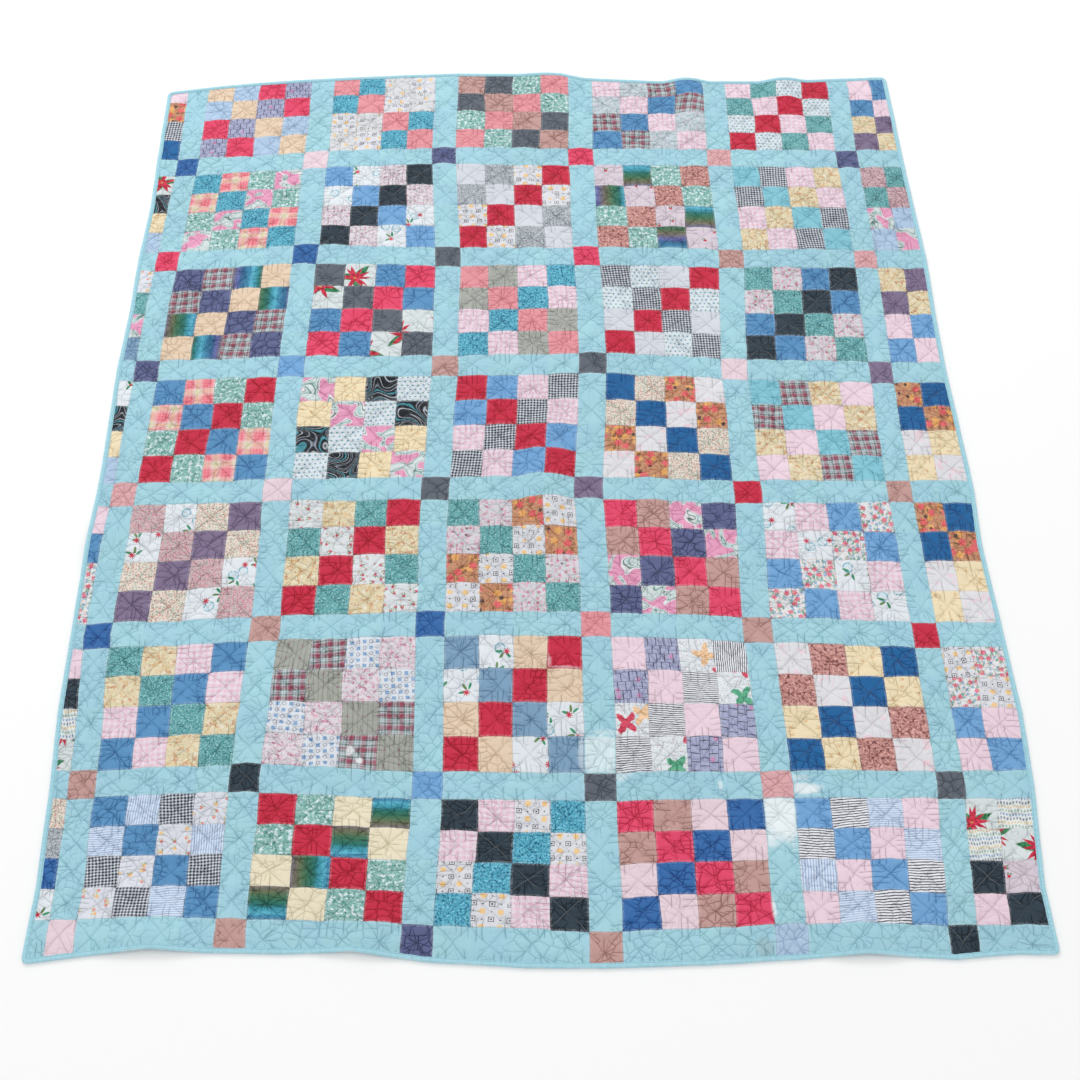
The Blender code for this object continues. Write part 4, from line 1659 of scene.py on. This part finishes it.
def make_tier(number, sheet, cloth, fabric_numbers, facts, materials):
    """One tier of the top: a row of blocks and the sash row under it."""
    name = f"quilt_top_{number + 1}"
    first = row_line(number * SASH_PERIOD)
    last = row_line((number + 1) * SASH_PERIOD)
    cut = np.s_[:, first : last + 1]
    x, y = sheet.x[cut], sheet.y[cut]
    mesh = grid_mesh(name, x, y, cloth["height"][cut])
    for stored in STORED:
        store(mesh, stored, cloth[stored][cut])
    store(mesh, "pinched", cloth["pinched"][cut], "POINT", "FLOAT", "value")
    store(mesh, "patch", np.repeat(facts[:, first:last].reshape(-1, 3), 4, axis=0), "CORNER")
    used, index = np.unique(fabric_numbers[:, first:last], return_inverse=True)
    for fabric in used:
        mesh.materials.append(materials[fabric])
    mesh.polygons.foreach_set("material_index", index.ravel().astype(np.int32))
    add_bake_map(mesh, x, y)
    return new_object(name, mesh)


def make_top():
    """The quilted top, tier by tier; then what lies under it and along its edge."""
    layout = whole_layout()
    names = sorted(FABRICS)
    make_place_group()
    make_finish_and_shade_group()
    materials = [make_fabric(name) for name in names]
    sheet = Sheet()
    seams = seam_distance(sheet)
    cloth = {
        "cells": np.stack([sheet.u, sheet.v, seams], axis=-1),
        "bent": bent_cells(sheet),
        "breaks": crease_breaks(sheet),
        "wear": worn(sheet),
    }
    rim = sheet.rim_path()
    for amount, size in SEAM_WOBBLES:
        wobble(sheet, amount, size)
    sheet.shift(mismatched(sheet.u, sheet.v), mismatched(sheet.v, sheet.u))
    cloth["height"] = heights(sheet, seams)
    cloth["pinched"] = pinched(sheet)
    fabric_numbers, facts = patch_facts(layout, names)
    puckers = make_pucker_tree()
    for number in range(CROSSBARS):
        tier = make_tier(number, sheet, cloth, fabric_numbers, facts, materials)
        press_creases(tier, puckers)
        finish_piece(tier, "quilt_body")
    make_backing(sheet, cloth, materials[names.index("aqua")])
    make_bindings(rim)


# ---------------------------------------------------------------- backing and binding


def make_backing(sheet, cloth, material):
    """The plain cloth under the padding, which lies on the surface and rises in the wrinkles."""
    thin = np.s_[::BACKING_STEP, ::BACKING_STEP]
    x, y = sheet.x[thin], sheet.y[thin]
    mesh = grid_mesh("quilt_back", x, y, lift(x, y))
    mesh.flip_normals()
    for stored in STORED:
        store(mesh, stored, cloth[stored][thin])
    mesh.materials.append(material)
    add_bake_map(mesh, x, y)
    back = new_object("quilt_back", mesh)
    finish_piece(back, "quilt_body")


def travel(points):
    """How far along a path each of its points lies."""
    return np.concatenate([[0.0], np.cumsum(np.hypot(*np.diff(points, axis=0).T))])


def even_path(points, apart):
    """The same path with points evenly spaced, and the distance of each along it."""
    distances = travel(points)
    along = np.linspace(0.0, distances[-1], int(round(distances[-1] / apart)) + 1)
    return np.stack([np.interp(along, distances, points[:, axis]) for axis in (0, 1)], axis=1), along


def binding_profile():
    """The strip's section as inward distance and height, from its hem underneath to its top hem."""
    half = BINDING_TOP / 2
    under = [(BINDING - 0.001, 0.0), (0.0062, 0.0), (0.0044, 0.0), (0.0026, 0.0001)]
    angles = [math.pi * step / 8 for step in range(1, 8)]
    fold = [(half * 0.95 * (1 - math.sin(angle)), half * (1 - math.cos(angle))) for angle in angles]
    stitch_at = BINDING - BINDING_STITCH
    over = [
        (0.0024, BINDING_TOP),
        (0.0038, BINDING_TOP + 0.0003),
        (0.0050, BINDING_TOP + 0.0002),
        (stitch_at - 0.0010, BINDING_TOP - 0.0001),
        (stitch_at, BINDING_TOP - 0.0009),
        (stitch_at + 0.0010, BINDING_TOP - 0.0002),
        (BINDING - 0.0002, BINDING_TOP - 0.0005),
        (BINDING + 0.0002, BINDING_TOP - 0.0016),
    ]
    return np.array(under + fold + over)


def uneven(along, apart):
    """Random values from -1 to 1 along a strip, this far apart and even between."""
    knots = np.arange(0, LONGEST_STRIP, apart)
    return np.interp(along, knots, RANDOM.uniform(-1, 1, len(knots)))[:, None]


def make_binding(name, points, inward, material):
    """One folded strip along its part of the rim."""
    path, along = even_path(points, STATION_APART)
    tangent = np.gradient(path, axis=0)
    tangent /= np.linalg.norm(tangent, axis=1)[:, None]
    normal = np.stack([-tangent[:, 1], tangent[:, 0]], axis=1) * inward
    profile = binding_profile()
    reach, height = profile.T
    crimp = uneven(along, CRIMPS_APART)
    wave = uneven(along, WAVES_APART)
    hem = clipped((reach - HEM_FROM) / HEM_WIDTH) * (height > BINDING_TOP / 4)
    inset = reach - RIM_INSET + BINDING_WAVE * wave + hem * HEM_CRIMP * crimp
    x = path[:, 0, None] + normal[:, 0, None] * inset
    y = path[:, 1, None] + normal[:, 1, None] * inset
    z = lift(x, y) + height + clipped(height / BINDING_TOP) * CRIMP_RISE * crimp
    mesh = grid_mesh(name, x, y, z)
    if inward > 0:
        mesh.flip_normals()
    store(mesh, "strip", np.stack(np.broadcast_arrays(along[:, None], reach, height), axis=-1))
    girth = travel(profile)
    add_strip_map(mesh, along, girth)
    mesh.materials.append(material)
    finish_piece(new_object(name, mesh), name)


def add_strip_map(mesh, along, girth, lengths=8):
    """Cut the strip's map in equal lengths and stack them, a little apart."""
    corner, first = corners_of(mesh, len(girth))
    share = along[corner // len(girth)] / along[-1] * lengths
    piece = np.minimum(np.floor(along[first] / along[-1] * lengths + 1e-6), lengths - 1)
    down = (piece + 0.08 + 0.84 * girth[corner % len(girth)] / girth[-1]) / lengths
    store_map(mesh, (share - piece) * 0.97 + 0.01, down)


def make_binding_material():
    """Aqua cloth, crimped by its hem's line of stitches, with painted light and shade on the crimps and
    stitches.
    """
    material, w, given = new_material("binding_cloth", CLOTH_SHINE)
    along, inward, height = w.split(attribute(w, "strip"))
    place = w.join(along, w.add(inward, w.times(height, 1.5)))
    crimp_bumps_and_shade = w.noise(w.stretched(place, 1.0, 0.25), 0.0038, 1.0)
    slub = threads(w, place, 1.0, 7.0)
    rubbed = w.ramp(w.noise(place, 0.05, 3.0), 0.48, 0.62)
    on_fold = w.times(w.ramp(inward, 0.0022, 0.0004), w.times(rubbed, 0.45))
    # Painted light and shade of the crimps: the colour rises and falls with them, as well as with the
    # weave's slubs.
    value = w.add(0.80, w.times(slub, 0.14), w.times(crimp_bumps_and_shade, 0.24))
    colour = w.mix(on_fold, w.scaled(tone(162, 209, 222)[:3], value), (205, 226, 230))
    # Painted shade: darker dashes along the stitching's dent near the strip's inner edge.
    from_stitch = w.calc("ABSOLUTE", w.calc("SUBTRACT", inward, BINDING - BINDING_STITCH))
    dash = bands(w, along, 0.0031, 0.72, 0.12)
    on_top = w.calc("GREATER_THAN", height, 0.001)
    line = w.times(w.ramp(from_stitch, 0.0009, 0.0002), dash, on_top)
    w.feed(given["Base Color"], w.mix(w.times(line, 0.40), colour, (88, 140, 154)))
    relief = w.add(w.times(crimp_bumps_and_shade, 0.0009), w.times(slub, 0.0002))
    w.feed(given["Normal"], w.bumped(relief))
    return material


def make_bindings(rim):
    """The four strips, each along one side between the middles of its corners."""
    material = make_binding_material()
    for side, inward in (("left", 1), ("right", -1), ("top", -1), ("bottom", 1)):
        make_binding("binding_" + side, rim[side], inward, material)


# ---------------------------------------------------------------- floor, light and camera

FLOOR_HALF = 30.0
FLOOR_BELOW = 0.0005
FLOOR_PAPER = {"Base Color": (0.93, 0.93, 0.93, 1.0), "Roughness": 0.95}
SKY = {"Color": (1.0, 1.0, 1.0, 1.0), "Strength": 0.90}
KEY_LIGHT_SIZE = (3.0, 2.0)
KEY_LIGHT_WATTS = 110.0
KEY_LIGHT_AT = (-1.8, 4.2, 3.4)
LENS_MM = 58.0
SENSOR_MM = 36.0
FARTHEST_SEEN = 100.0
CAMERA_AT = (-0.013, -2.075, 2.730)
CAMERA_TURN_DEGREES = (34.06, -0.200, -0.136)


def make_floor():
    across = np.array([[-FLOOR_HALF] * 2, [FLOOR_HALF] * 2])
    floor = new_object("floor", grid_mesh("floor", across, -across.T, np.zeros((2, 2))))
    floor.location.z = -FLOOR_BELOW
    floor.data.materials.append(new_material("floor_paper", FLOOR_PAPER)[0])


def light_studio():
    world = bpy.data.worlds.new("studio")
    world.use_nodes = True
    for socket, value in SKY.items():
        world.node_tree.nodes["Background"].inputs[socket].default_value = value
    bpy.context.scene.world = world
    soft_box = bpy.data.lights.new("key", "AREA")
    soft_box.shape = "RECTANGLE"
    soft_box.size, soft_box.size_y = KEY_LIGHT_SIZE
    soft_box.energy = KEY_LIGHT_WATTS
    light = new_object("key", soft_box)
    light.location = KEY_LIGHT_AT
    light.rotation_euler = (-light.location).to_track_quat("-Z", "Y").to_euler()
    settings = bpy.context.scene.view_settings
    settings.view_transform = "Standard"
    settings.look = "None"


def add_camera():
    lens = bpy.data.cameras.new("camera")
    lens.lens = LENS_MM
    lens.sensor_width = SENSOR_MM
    lens.clip_end = FARTHEST_SEEN
    camera = new_object("camera", lens)
    camera.location = CAMERA_AT
    camera.rotation_euler = [math.radians(angle) for angle in CAMERA_TURN_DEGREES]
    bpy.context.scene.camera = camera


make_top()
make_floor()
light_studio()
add_camera()
